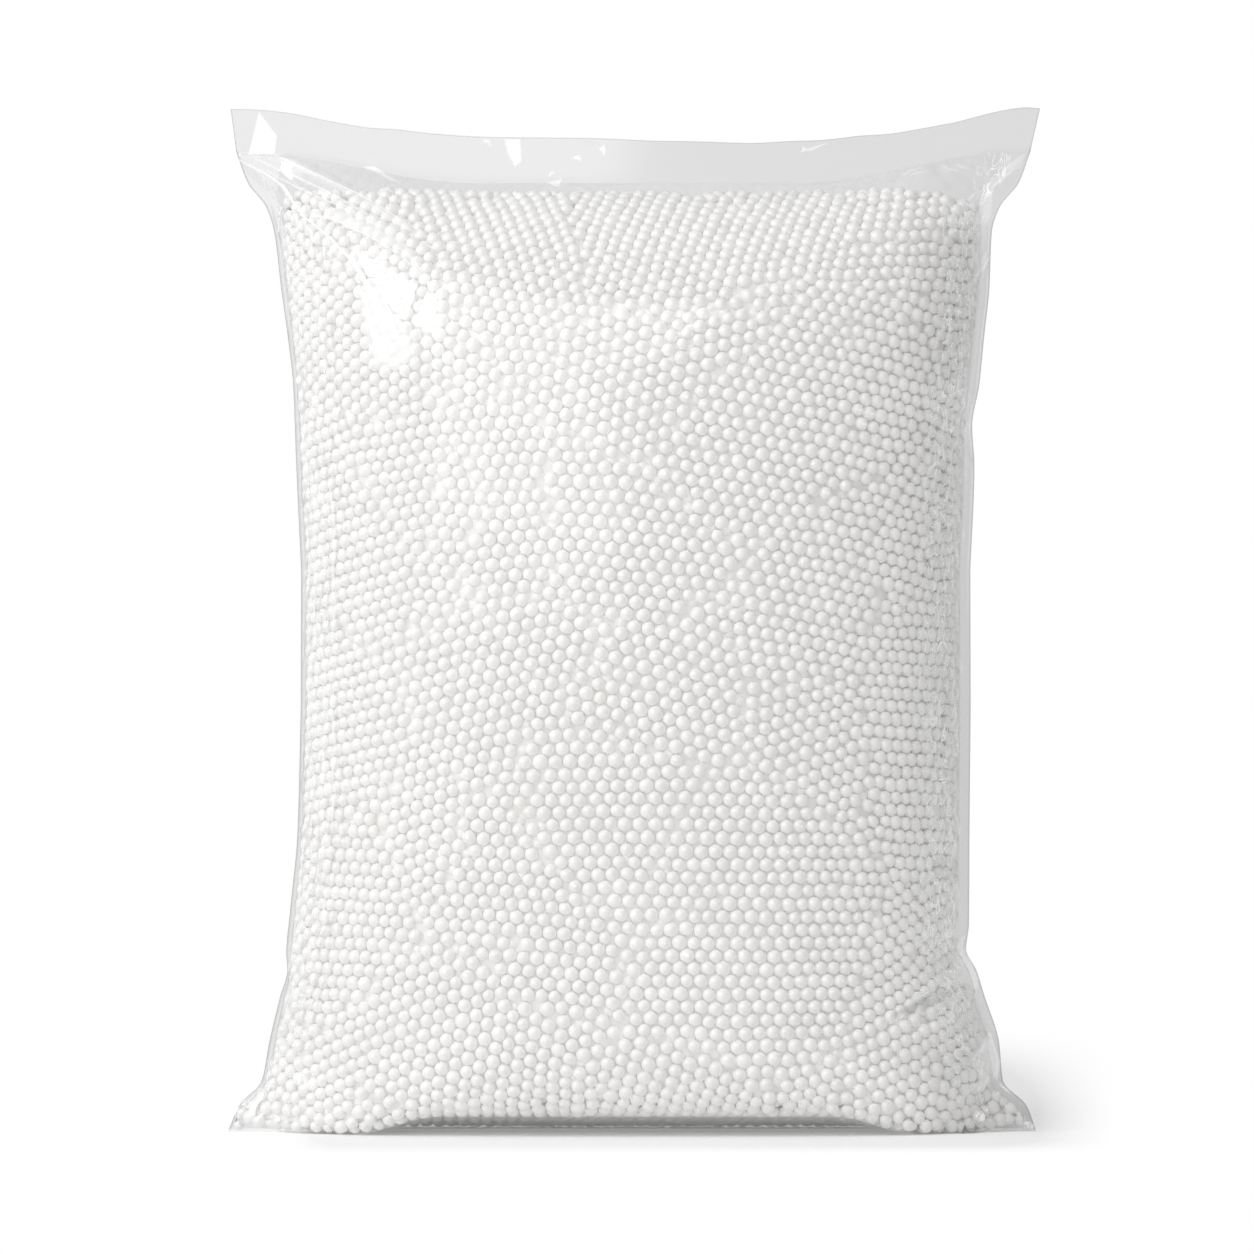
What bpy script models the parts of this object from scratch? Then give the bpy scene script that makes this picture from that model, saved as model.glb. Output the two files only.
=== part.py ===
"""A clear film bag of polystyrene beads, standing on its welded bottom edge.

A length of lay-flat tube film is welded across the bottom, filled with loose beads and welded
across the top. The weight of the beads spreads the foot of the bag and leaves two ears at the
ends of the bottom weld, while the top weld stands up as a fin between two empty corners.
"""
import math
from collections import namedtuple
from functools import partial

import bmesh
import bpy
from mathutils import Vector
from mathutils.bvhtree import BVHTree

# Film, in metres as every size here
FILM_WIDTH = 0.290
FILM_GAUGE = 0.0001
EDGE_GAP = 0.0006
LEFT_STRIP = 0.0015
RIGHT_STRIP = 0.0035
VENT_RADIUS = 0.0015
VENT_SIDE = 0.055
VENT_DROP = 0.050

# Welds
SEAL_HEIGHT = 0.3375
CORNER_RISE = 0.0118
FIN_HEIGHT = 0.0149
FIN_BOW = 0.007
HORN_WIDTH = 0.015
HORN_DROP = 0.031
SKIRT_LENGTH = 0.008

# Filled body
LEFT_DRAW = 0.0260
RIGHT_DRAW = 0.0258
BELLY_DEPTH = 0.120
SHOULDER_HEIGHT = 0.075
SHOULDER_BEND = 2.2
SHOULDER_TAPER = 0.9
HEEL_HEIGHT = 0.042
HEEL_EDGE_HEIGHT = 0.070
EAR_HEIGHT = 0.018
EAR_TAPER = 0.6
FLOOR_RUN = 0.038
ARCH_RISE = 0.0065
ARCH_HALF_SPAN = 0.100
ARCH_BLEND = 0.032
ARCH_DEPTH = 0.034

# Beads
SMALLEST_BEAD = 0.003
BEAD_HEADROOM = 0.0015
BEAD_CLEARANCE = 0.0003
BEAD_END = 1.005

# Mesh
COLUMNS = 32
FLOOR_ROWS = 3
HEEL_ROWS = 6
WALL_ROWS = 9
SHOULDER_ROWS = 8
FIN_ROWS = 2
VENT_SIDES = 12
EDGE_CROWDING = 0.35
WELD_CROWDING = 1.6
FOLD_SNAP = 0.0012
SEATING_TURNS = 6

# Where the tube's side folds stand out from the waist, up from the floor and down from the top weld:
# (share of EDGE_RUN, share of the draw that is given back)
EDGE_RUN = 0.150
LEFT_FOOT_EDGE = ((0.0, 0.97), (0.06, 0.82), (0.12, 0.52), (0.21, 0.42), (0.32, 0.27), (0.38, 0.175),
                  (0.42, 0.19), (0.52, 0.14), (0.71, 0.04), (1.0, 0.0))
RIGHT_FOOT_EDGE = ((0.0, 0.88), (0.06, 0.75), (0.12, 0.43), (0.21, 0.38), (0.32, 0.18), (0.38, 0.07),
                   (0.43, -0.07), (0.49, -0.03), (0.71, -0.02), (1.0, 0.0))
LEFT_TOP_EDGE = ((0.0, 0.92), (0.073, 0.76), (0.133, 0.50), (0.193, 0.39), (0.327, 0.29), (0.447, 0.19),
                 (0.56, 0.115), (0.75, 0.07), (1.0, 0.0))
RIGHT_TOP_EDGE = ((0.0, 0.86), (0.073, 0.70), (0.133, 0.43), (0.193, 0.32), (0.327, 0.28), (0.447, 0.20),
                  (0.56, 0.13), (0.66, 0.03), (0.75, 0.06), (1.0, 0.0))

FRONT, BACK = -1, 1

# Ridges where spare film folds, up from the floor and down from the top weld, from start to end:
# (share of the half width, share of EDGE_RUN), with the slope of their sides
Fold = namedtuple("Fold", "start end slope ply")
FOLD_HALF_WIDTH = 0.0037
FOLD_LEAN = 0.6
FOOT_FOLDS = (
    Fold((0.94, 0.41), (0.70, 0.29), 0.70, FRONT),
    Fold((-0.93, 0.39), (-0.82, 0.23), 0.55, FRONT),
)
CORNER_FOLDS = (
    Fold((-0.94, 0.09), (-0.60, 0.27), 0.65, FRONT),
    Fold((-0.92, 0.18), (-0.70, 0.51), 0.75, FRONT),
    Fold((0.94, 0.10), (0.84, 0.31), 0.60, FRONT),
    Fold((-0.94, 0.10), (-0.76, 0.33), 0.60, BACK),
    Fold((0.94, 0.10), (0.72, 0.30), 0.60, BACK),
)

Section = namedtuple("Section", "end_power side_power rise_from rise_to")
FOOT_SECTION = Section(4.5, 0.75, 0.88, 1.0)
BODY_SECTION = Section(2.6, 0.78, 0.20, 1.0)
TOP_SECTION = Section(4.0, 0.80, 0.40, 0.98)

Row = namedtuple("Row", "edge_height depth height section")

FLAT_HALF_WIDTH = FILM_WIDTH / 2
BELLY_HALF_DEPTH = BELLY_DEPTH / 2
SKIRT_STEP = 2 * FILM_GAUGE + EDGE_GAP
EDGE_SEAL_HEIGHT = SEAL_HEIGHT + CORNER_RISE
SHOULDER_START = SEAL_HEIGHT - SHOULDER_HEIGHT
BEAD_LEVEL = SEAL_HEIGHT - BEAD_HEADROOM


def ease(share):
    """Return a smooth step from 0 to 1."""
    share = min(max(share, 0.0), 1.0)
    return share * share * (3 - 2 * share)


def mix(first, last, share):
    """Return the value a share of the way from first to last."""
    return first + (last - first) * share


def read_line(points, place):
    """Read a smooth line through (place, value) points that never swings past them."""
    if place <= points[0][0]:
        return points[0][1]
    if place >= points[-1][0]:
        return points[-1][1]
    slopes = [(b[1] - a[1]) / (b[0] - a[0]) for a, b in zip(points, points[1:])]
    tangents = [slopes[0]]
    for before, after in zip(slopes, slopes[1:]):
        tangents.append(0.0 if before * after <= 0 else 2 * before * after / (before + after))
    tangents.append(slopes[-1])
    span = next(i for i in range(len(slopes)) if place <= points[i + 1][0])
    (start, low), (end, high) = points[span], points[span + 1]
    length = end - start
    t = (place - start) / length
    return (low * (1 + 2 * t) * (1 - t) ** 2 + high * t * t * (3 - 2 * t)
            + tangents[span] * length * t * (1 - t) ** 2 + tangents[span + 1] * length * t * t * (t - 1))


def edge_half_width(side, height):
    """Return how far the tube's side fold stands out at a height, on the left (-1) or the right (1)."""
    draw = LEFT_DRAW if side < 0 else RIGHT_DRAW
    foot = read_line(LEFT_FOOT_EDGE if side < 0 else RIGHT_FOOT_EDGE, height / EDGE_RUN)
    top = read_line(LEFT_TOP_EDGE if side < 0 else RIGHT_TOP_EDGE, (EDGE_SEAL_HEIGHT - height) / EDGE_RUN)
    return FLAT_HALF_WIDTH - draw * (1 - foot - top)


def blend_section(first, last, share):
    """Return the section a share of the way from one to another."""
    return Section(*(mix(a, b, share) for a, b in zip(first, last)))


def row_at(edge_height):
    """Return the row of film whose side folds are at this height."""
    if edge_height < EAR_HEIGHT:
        return Row(edge_height, FLOOR_RUN * (edge_height / EAR_HEIGHT) ** EAR_TAPER, 0.0, FOOT_SECTION)
    if edge_height < HEEL_EDGE_HEIGHT:
        share = (edge_height - EAR_HEIGHT) / (HEEL_EDGE_HEIGHT - EAR_HEIGHT)
        turn = share * math.pi / 2
        depth = FLOOR_RUN + (BELLY_HALF_DEPTH - FLOOR_RUN) * math.sin(turn)
        section = blend_section(FOOT_SECTION, BODY_SECTION, ease(share))
        return Row(edge_height, depth, HEEL_HEIGHT * (1 - math.cos(turn)), section)
    if edge_height < SHOULDER_START:
        share = (edge_height - HEEL_EDGE_HEIGHT) / (SHOULDER_START - HEEL_EDGE_HEIGHT)
        return Row(edge_height, BELLY_HALF_DEPTH, mix(HEEL_HEIGHT, SHOULDER_START, share), BODY_SECTION)
    share = min((edge_height - SHOULDER_START) / (EDGE_SEAL_HEIGHT - SHOULDER_START), 1.0)
    depth = BELLY_HALF_DEPTH * (1 - share ** SHOULDER_BEND) ** SHOULDER_TAPER
    section = blend_section(BODY_SECTION, TOP_SECTION, ease(share))
    return Row(edge_height, depth, mix(SHOULDER_START, SEAL_HEIGHT, share), section)


def body_share(row, side):
    """Return the share of the half width over which the two plies stand apart."""
    horn = ease((row.edge_height - EDGE_SEAL_HEIGHT) / HORN_DROP + 1)
    strip = mix(LEFT_STRIP if side < 0 else RIGHT_STRIP, HORN_WIDTH, horn)
    return 1 - strip / edge_half_width(side, row.edge_height)


def film_point(row, ply, share):
    """Return a point of the film's outer face, a share of the half width from the middle."""
    side = -1 if share < 0 else 1
    section = row.section
    across = min(abs(share) / body_share(row, side), 1.0)
    swell = (1 - across ** section.end_power) ** section.side_power
    gap = EDGE_GAP / 2 + max(row.depth - EDGE_GAP / 2, 0.0) * swell
    rise = ease((abs(share) - section.rise_from) / (section.rise_to - section.rise_from))
    height = mix(row.height, row.edge_height, rise)
    if ply == BACK:
        over_skirt = 1 - ease(gap / SKIRT_LENGTH - 1)
        height += SKIRT_STEP * over_skirt * (1 - ease(height / EAR_HEIGHT))
    if abs(share) == 1:
        return Vector((edge_half_width(side, row.edge_height) * share, 0.0, row.edge_height))
    return Vector((edge_half_width(side, row.edge_height) * share, ply * gap, height))


def weld_point(depth, ply, share):
    """Return a point of the bottom weld and its skirt, which lie flat on the floor."""
    height = FILM_GAUGE
    if abs(share) < 1:
        height += ply * FILM_GAUGE
    return Vector((edge_half_width(share, 0.0) * share, depth, height))


def turn_point(row, ply, share):
    """Return a point where the back ply turns over the skirt, and the front ply goes on along the floor."""
    point = film_point(row, ply, share)
    if ply == BACK:
        point.y = 0.0
    return point


def fin_point(climb, ply, share):
    """Return a point of the top weld's outer face, a share of the way up the fin."""
    x = mix(edge_half_width(share, EDGE_SEAL_HEIGHT), FLAT_HALF_WIDTH, climb) * share
    rise = ease((abs(share) - TOP_SECTION.rise_from) / (TOP_SECTION.rise_to - TOP_SECTION.rise_from))
    thickness = FILM_GAUGE if abs(share) < 1 else 0.0
    return Vector((x, ply * thickness, SEAL_HEIGHT + CORNER_RISE * rise + FIN_HEIGHT * climb))


def drape(point):
    """Arch the middle of the foot off the floor in front, and bow the corners of the top weld backwards."""
    x, y, z = point
    arch = (1 - ease((abs(x) - ARCH_HALF_SPAN + ARCH_BLEND) / ARCH_BLEND)) * ease(-y / ARCH_DEPTH)
    lifted = z + ARCH_RISE * arch * (1 - ease(z / HEEL_EDGE_HEIGHT))
    bow = FIN_BOW * (x / FLAT_HALF_WIDTH) ** 2 * ease((z - SHOULDER_START) / SHOULDER_HEIGHT)
    return Vector((x, y + bow, lifted))


def column_shares():
    """Return the columns' places across the film, closer together towards the side folds."""
    evenly = [2 * i / COLUMNS - 1 for i in range(COLUMNS + 1)]
    return [t + EDGE_CROWDING * (t - t ** 3) for t in evenly]


def body_heights():
    """Return the side-fold heights of the rows between the two welds, closer near the top weld."""
    floor = [EAR_HEIGHT * i / (FLOOR_ROWS + 1) for i in range(1, FLOOR_ROWS + 1)]
    heel = [mix(EAR_HEIGHT, HEEL_EDGE_HEIGHT, i / HEEL_ROWS) for i in range(HEEL_ROWS)]
    wall = [mix(HEEL_EDGE_HEIGHT, SHOULDER_START, i / WALL_ROWS) for i in range(WALL_ROWS)]
    shoulder = [mix(EDGE_SEAL_HEIGHT, SHOULDER_START, (1 - i / SHOULDER_ROWS) ** WELD_CROWDING)
                for i in range(SHOULDER_ROWS)]
    return floor + heel + wall + shoulder


def ring(point_on_ply, shares):
    """Return one row's points around the tube: over the front from left to right, then back behind."""
    front = [point_on_ply(FRONT, share) for share in shares]
    back = [point_on_ply(BACK, share) for share in shares[-2:0:-1]]
    return front + back


def loft(bm, rings):
    """Join the rings into one closed skin, and return its loops of points and its bands of faces."""
    loops = [[bm.verts.new(drape(point)) for point in points] for points in rings]
    size = len(loops[0])
    bands = []
    for low, high in zip(loops, loops[1:]):
        bands.append([bm.faces.new((low[i], low[(i + 1) % size], high[(i + 1) % size], high[i]))
                      for i in range(size)])
    for i in range(size // 2):
        for loop in (loops[0], loops[-1]):
            corners = list(dict.fromkeys((loop[i], loop[i + 1], loop[-i - 1], loop[-i])))
            bm.faces.new(corners[::-1] if loop is loops[0] else corners)
    return loops, bands


def film_skin():
    """Return the outer face of the whole bag, with its body, foldable faces and weld lines marked."""
    shares = column_shares()
    turn = Row(EDGE_GAP, SKIRT_LENGTH / 3, 0.0, FOOT_SECTION)
    over = Row(3 * EDGE_GAP, SKIRT_LENGTH, 0.0, FOOT_SECTION)
    rings = [ring(partial(weld_point, depth), shares) for depth in (SKIRT_LENGTH, 0.0)]
    rings += [ring(partial(turn_point, turn), shares), ring(partial(film_point, over), shares)]
    foot_rings = len(rings)
    rings += [ring(partial(film_point, row_at(height)), shares) for height in body_heights()]
    rings += [ring(partial(fin_point, i / FIN_ROWS), shares) for i in range(FIN_ROWS + 1)]
    bm = bmesh.new()
    body = bm.faces.layers.int.new("body")
    ply = bm.faces.layers.int.new("ply")
    weld = bm.verts.layers.int.new("weld")
    loops, bands = loft(bm, rings)
    top_weld = len(loops) - 1 - FIN_ROWS
    for number in range(1, top_weld):
        for i, face in enumerate(bands[number]):
            face[body] = 1
            if foot_rings < number < top_weld - 1 and i % COLUMNS not in (0, COLUMNS - 1):
                face[ply] = FRONT if i < COLUMNS else BACK
    for first_mark, loop in ((0, loops[1]), (COLUMNS, loops[top_weld])):
        for i, vert in enumerate(loop):
            column = min(i, 2 * COLUMNS - i)
            vert[weld] = first_mark + min(max(column, 1), COLUMNS - 1)
    return bm


def fold_end(share, height):
    """Return the point of the side-on outline that a fold starts or ends at."""
    return Vector((share * edge_half_width(share, height), 0.0, height))


def raise_fold(bm, fold, start, end):
    """Raise one tapering ridge in a ply, with mesh edges cut along its crest and both its feet."""
    ply = bm.faces.layers.int["ply"]
    along = (end - start).normalized()
    across = Vector((along.z, 0.0, -along.x))
    length = (end - start).length

    def is_near(face):
        offset = face.calc_center_median() - start
        return (face[ply] == fold.ply and abs(offset.dot(across)) < 3 * FOLD_HALF_WIDTH
                and -FOLD_HALF_WIDTH < offset.dot(along) < length + FOLD_HALF_WIDTH)

    for shift in (-FOLD_HALF_WIDTH, 0.0, FOLD_HALF_WIDTH):
        faces = [face for face in bm.faces if is_near(face)]
        edges = list({edge for face in faces for edge in face.edges})
        verts = list({vert for face in faces for vert in face.verts})
        bmesh.ops.bisect_plane(bm, geom=verts + edges + faces, dist=FOLD_SNAP,
                               plane_co=start + across * shift, plane_no=across)
    bm.normal_update()
    lifts = []
    for vert in bm.verts:
        offset = vert.co - start
        crest = FOLD_HALF_WIDTH - abs(offset.dot(across))
        reach = offset.dot(along) / length
        if crest > 0 and 0 < reach < 1 and all(face[ply] == fold.ply for face in vert.link_faces):
            lifts.append((vert, fold.slope * crest * math.sin(math.pi * reach ** FOLD_LEAN)))
    for vert, lift in lifts:
        vert.co += vert.normal * lift


def draw_in(skin, outer, step, fixed=()):
    """Move the corners of the faces that cross the skin around them inwards, a step at a time."""
    around = BVHTree.FromBMesh(outer)
    for turn in range(SEATING_TURNS):
        skin.faces.ensure_lookup_table()
        crossing = {index for index, _ in BVHTree.FromBMesh(skin).overlap(around)}
        corners = {vert for index in crossing for vert in skin.faces[index].verts}
        for vert in corners.difference(fixed):
            vert.co -= around.find_nearest(vert.co)[1] * step


def hollow_of(skin):
    """Return the space inside the bag: its skin between the welds, moved in by the film's gauge."""
    inside = skin.copy()
    body = inside.faces.layers.int["body"]
    weld = inside.verts.layers.int["weld"]
    outside = [face for face in inside.faces if not face[body]]
    bmesh.ops.delete(inside, geom=outside, context="FACES")
    inside.normal_update()
    groups = {}
    for vert in sorted(inside.verts, key=lambda vert: abs(vert.co.x)):
        if vert[weld]:
            groups.setdefault(vert[weld], []).append(vert)
    middles = [(group[0].co + group[1].co) / 2 for group in groups.values()]
    places = [vert.co - vert.normal * FILM_GAUGE * vert.calc_shell_factor() for vert in inside.verts]
    for vert, place in zip(inside.verts, places):
        vert.co = place
    for group, middle in zip(groups.values(), middles):
        bmesh.ops.pointmerge(inside, verts=group, merge_co=middle)
    bmesh.ops.triangulate(inside, faces=inside.faces[:], quad_method="FIXED")
    draw_in(inside, skin, FILM_GAUGE, [vert for vert in inside.verts if vert[weld]])
    return inside


def bead_reach(row, side, widest):
    """Return how far out the beads reach, where the gap between the plies still holds the smallest."""
    swell = (SMALLEST_BEAD - EDGE_GAP) / (2 * row.depth - EDGE_GAP)
    section = row.section
    across = max(1 - swell ** (1 / section.side_power), 0.0) ** (1 / section.end_power)
    return min(across * body_share(row, side), widest)


def bead_point(edge_height, widest, ply, share):
    """Return a point of the heap of beads, just inside the film."""
    row = row_at(edge_height)
    at = min(max(share, -1.0), 1.0) * bead_reach(row, share, widest)
    step = SMALLEST_BEAD / 6
    across = film_point(row, ply, at + step) - film_point(row, ply, at - step)
    up = film_point(row_at(edge_height + step), ply, at) - film_point(row_at(edge_height - step), ply, at)
    outward = across.cross(up).normalized() * -ply
    point = film_point(row, ply, at) - outward * (FILM_GAUGE + BEAD_CLEARANCE)
    if abs(share) > 1:
        point = Vector((point.x * abs(share), 0.0, point.z))
    point.z = min(point.z, BEAD_LEVEL)
    return point


def bead_skin():
    """Return the closed form of the loose beads, which fill the bag up to their own level."""
    columns = column_shares()
    widest = columns[-2]
    shares = [-BEAD_END] + [share / widest for share in columns[1:-1]] + [BEAD_END]
    rings = [ring(partial(bead_point, height, widest), shares) for height in body_heights()]
    lowest = SKIRT_STEP + FILM_GAUGE + BEAD_CLEARANCE
    rings[0] = [Vector((point.x, point.y, max(point.z, lowest))) for point in rings[0]]
    bm = bmesh.new()
    loft(bm, rings)
    return bm


def seat_inside(skin, outer, clearance):
    """Move what comes too near the skin around it, or crosses it, back to its clearance."""
    around = BVHTree.FromBMesh(outer)
    bmesh.ops.triangulate(skin, faces=skin.faces[:], quad_method="FIXED")
    for vert in skin.verts:
        place, outward, _, _ = around.find_nearest(vert.co)
        if (place - vert.co).dot(outward) < clearance:
            vert.co = place - outward * clearance
    draw_in(skin, outer, clearance)


def make_material(name, color, roughness, alpha):
    """Return a plain material for one piece."""
    material = bpy.data.materials.new(name)
    material.use_nodes = True
    shader = material.node_tree.nodes["Principled BSDF"]
    shader.inputs["Base Color"].default_value = (*color, 1.0)
    shader.inputs["Roughness"].default_value = roughness
    shader.inputs["Alpha"].default_value = alpha
    material.diffuse_color = (*color, alpha)
    return material


def make_object(bm, name, collection):
    """Return an object made from a mesh in work, with its faces cut into triangles."""
    bmesh.ops.triangulate(bm, faces=bm.faces[:], quad_method="FIXED")
    mesh = bpy.data.meshes.new(name)
    bm.to_mesh(mesh)
    bm.free()
    mesh.shade_smooth()
    mesh.set_sharp_from_angle(angle=math.radians(40))
    piece = bpy.data.objects.new(name, mesh)
    collection.objects.link(piece)
    return piece


def hide_cutter(cutter):
    """Show a cutter as wires only, and keep it out of renders."""
    cutter.hide_render = True
    cutter.display_type = "WIRE"


def make_vent_cutter(collection):
    """Return the round cutter of the vent, which lets the air out through the back of the bag."""
    row = row_at(EDGE_SEAL_HEIGHT - VENT_DROP)
    place = film_point(row, BACK, VENT_SIDE / edge_half_width(1, row.edge_height))
    bm = bmesh.new()
    bmesh.ops.create_cone(bm, cap_ends=True, segments=VENT_SIDES, radius1=VENT_RADIUS,
                          radius2=VENT_RADIUS, depth=4 * VENT_RADIUS)
    cutter = make_object(bm, "vent_cutter", collection)
    cutter.rotation_euler = (math.pi / 2, 0.0, 0.0)
    cutter.location = drape(place)
    hide_cutter(cutter)
    return cutter


def cut(piece, cutter):
    """Cut one object out of another."""
    modifier = piece.modifiers.new(cutter.name, "BOOLEAN")
    modifier.operation = "DIFFERENCE"
    modifier.solver = "EXACT"
    modifier.object = cutter


def make_film_bag(collection, cutters):
    """Make the bag: one piece of tube film, welded at both ends. Return the hollow inside it."""
    skin = film_skin()
    for fold in FOOT_FOLDS:
        raise_fold(skin, fold, *(fold_end(share, up * EDGE_RUN) for share, up in (fold.start, fold.end)))
    for fold in CORNER_FOLDS:
        raise_fold(skin, fold, *(fold_end(share, EDGE_SEAL_HEIGHT - drop * EDGE_RUN)
                                 for share, drop in (fold.start, fold.end)))
    bmesh.ops.triangulate(skin, faces=skin.faces[:], quad_method="FIXED")
    hollow = hollow_of(skin)
    cutter = make_object(hollow.copy(), "hollow_cutter", cutters)
    hide_cutter(cutter)
    bag = make_object(skin, "film_bag", collection)
    bag.data.materials.append(make_material("clear_film", (0.90, 0.92, 0.93), 0.12, 0.30))
    cut(bag, cutter)
    cut(bag, make_vent_cutter(cutters))
    return hollow


def make_bead_fill(collection, hollow):
    """Make the heap of expanded beads as one body."""
    skin = bead_skin()
    seat_inside(skin, hollow, BEAD_CLEARANCE)
    hollow.free()
    beads = make_object(skin, "bead_fill", collection)
    beads.data.materials.append(make_material("white_beads", (0.90, 0.89, 0.86), 0.55, 1.0))


for old in list(bpy.data.objects):
    bpy.data.objects.remove(old, do_unlink=True)
bag_pieces = bpy.data.collections.new("bag_of_polystyrene_beads")
bag_cutters = bpy.data.collections.new("cutters")
for group in (bag_pieces, bag_cutters):
    bpy.context.scene.collection.children.link(group)
bag_hollow = make_film_bag(bag_pieces, bag_cutters)
make_bead_fill(bag_pieces, bag_hollow)
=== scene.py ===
"""The finished look of a clear film bag of polystyrene beads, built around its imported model."""
import math

import bpy
import numpy as np
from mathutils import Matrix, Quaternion, Vector, noise
from mathutils.bvhtree import BVHTree
from mathutils.kdtree import KDTree


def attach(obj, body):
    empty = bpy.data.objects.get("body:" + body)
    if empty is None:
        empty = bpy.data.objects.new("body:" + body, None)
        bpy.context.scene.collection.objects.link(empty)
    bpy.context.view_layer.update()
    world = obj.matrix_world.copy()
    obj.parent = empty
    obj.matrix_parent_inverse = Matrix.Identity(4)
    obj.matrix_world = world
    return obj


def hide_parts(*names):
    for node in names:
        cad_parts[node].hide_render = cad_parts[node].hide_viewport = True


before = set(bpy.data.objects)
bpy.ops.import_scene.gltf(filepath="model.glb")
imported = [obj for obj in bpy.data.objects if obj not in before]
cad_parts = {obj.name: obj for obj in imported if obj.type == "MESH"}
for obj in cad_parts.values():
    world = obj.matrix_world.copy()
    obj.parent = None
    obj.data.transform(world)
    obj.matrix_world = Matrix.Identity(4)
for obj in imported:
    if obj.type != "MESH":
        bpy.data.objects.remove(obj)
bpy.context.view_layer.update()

# The loose beads: balls of expanded polystyrene, blown up from grains with steam, so that no two are
# the same size. They lie packed against the film, and only that outer layer is seen.
BEAD_RADIUS = 0.00252
BEAD_SPREAD = 0.06
BEAD_LARGEST = 0.0030
BEAD_STRETCH = 0.035
BEAD_LEVEL = 0.336
LEVEL_WAVE, LEVEL_WAVES, LEVEL_DROP = 0.003, (60, 80), 0.0025
FLOOR_CLEARANCE = 0.0003

# How they are laid against the film and settled, with room as a share of a bead's radius
BEAD_SEED = 11
BEAD_STARTS = 50
BEAD_ROOM = 0.88
BEAD_PROUD = 0.00025
BEAD_SINK = 0.0004
BEAD_SETTLING, LAST_SETTLING = 16, 28
PAIR_REACH, PAIR_TURNS = 2.2, 5
SETTLING_PUSH = 0.6

# How the gaps between them and the holes behind them are filled
GAP_WAYS = 8
GAP_REACH = 0.98
GAP_ROOMS = (0.68, 0.62, 0.56)
HOLE_SPOTS, HOLE_NEIGHBOURS = 70000, 5
HOLE_SIZE = 1.2
HOLE_ROOM = 0.35
HOLE_DEPTH = 1.9
CORE_DEPTH = 0.0036
CORE_DROP = 2.2
CORE_SHARE = 0.45
RAY_START = 1e-4
WELD_DIGITS = 6

# One bead's mesh, as (angle from the film, points) for each ring, and the painted shade of its rings
BEAD_RINGS = ((28, 6), (60, 12), (98, 12))
BEAD_BACK = 0.9
# Painted shade where a bead turns into the gaps: its widest ring and its back are darker
RING_SHADES = (1.0, 1.0, 0.97)
BACK_SHADE = 0.93
BEAD_LOTS = 4

# The foam: its colour, how far its shading is softer than its shape, and the shine of its skin
BEAD_COLOUR = (0.925, 0.917, 0.902)
BEAD_TONES = (0.92, 1.02)
TONE_MIDDLE, TONE_SPREAD = 0.6, 0.22
# Painted light on each bead's rim, where it turns away from the eye
RIM_LIGHT_COLOUR = (0.995, 0.993, 0.988)
BEAD_SOFTNESS = 0.15
SKIN_ROUGHNESS = 0.40
SKIN_SHINE, SKIN_STEEPNESS = (0.14, 0.22), 2.5
# Painted shade on beads that lie deeper: how much darker, and from how far past a bead's radius, as a share
# of it
DEEP_SHADE, DEEP_FROM = 0.05, 0.15
# The tone of the beads behind, and their painted shade
CORE_TONE, CORE_SHADE = 0.5, 0.94

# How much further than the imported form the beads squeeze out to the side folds: (height, reach)
LEFT_SQUEEZE = ((0.0, 0.0040), (0.010, 0.0035), (0.020, 0.0014), (0.035, 0.0010), (0.300, 0.0010),
                (0.330, 0.0))
RIGHT_SQUEEZE = ((0.0, 0.0035), (0.010, 0.0028), (0.020, 0.0), (0.330, 0.0))
SQUEEZE_WIDTH = 0.016
SQUEEZE_BAND = 0.004

# Small beads pushed into the tips of the foot: place across, height and radius in millimetres
EAR_BEADS = (
    (139.4, 2.2, 1.9), (135.6, 2.3, 2.0), (131.6, 2.4, 2.1), (137.6, 5.4, 1.8), (133.6, 6.0, 2.0),
    (135.4, 9.0, 1.8), (131.2, 9.6, 2.1), (-140.6, 2.2, 1.9), (-136.6, 2.4, 2.1), (-132.2, 2.5, 2.2),
    (-138.8, 5.6, 1.9), (-134.6, 6.3, 2.1), (-136.6, 9.2, 1.8), (-132.4, 10.0, 2.1),
)
EAR_ROOM = 0.75
EAR_SPREAD = 0.2

rng = np.random.default_rng(BEAD_SEED)
fill_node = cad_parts["bead_fill"]


def mesh_arrays(node):
    """Return a mesh's points and triangles."""
    mesh = node.data
    mesh.calc_loop_triangles()
    points = np.empty(len(mesh.vertices) * 3)
    mesh.vertices.foreach_get("co", points)
    corners = np.empty(len(mesh.loop_triangles) * 3, dtype=np.int64)
    mesh.loop_triangles.foreach_get("vertices", corners)
    return points.reshape(-1, 3), corners.reshape(-1, 3)


def mesh_from_arrays(name, points, faces):
    """Make a smooth object from points and equal-sided faces."""
    points, faces = np.asarray(points, dtype=np.float32), np.asarray(faces, dtype=np.int32)
    mesh = bpy.data.meshes.new(name)
    mesh.vertices.add(len(points))
    mesh.vertices.foreach_set("co", points.ravel())
    sides = faces.shape[1]
    mesh.loops.add(faces.size)
    mesh.loops.foreach_set("vertex_index", faces.ravel())
    mesh.polygons.add(len(faces))
    mesh.polygons.foreach_set("loop_start", np.arange(len(faces), dtype=np.int32) * sides)
    mesh.polygons.foreach_set("use_smooth", np.ones(len(faces), dtype=bool))
    mesh.update()
    mesh.validate()
    piece = bpy.data.objects.new(name, mesh)
    bpy.context.scene.collection.objects.link(piece)
    return piece


def add_point_values(piece, name, values):
    """Store one number at each point of a mesh, for its material."""
    layer = piece.data.attributes.new(name, "FLOAT", "POINT")
    layer.data.foreach_set("value", np.asarray(values, dtype=np.float32))


def add_point_ways(piece, name, ways):
    """Store one direction at each point of a mesh, for its material."""
    layer = piece.data.attributes.new(name, "FLOAT_VECTOR", "POINT")
    layer.data.foreach_set("vector", np.asarray(ways, dtype=np.float32).ravel())


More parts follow.
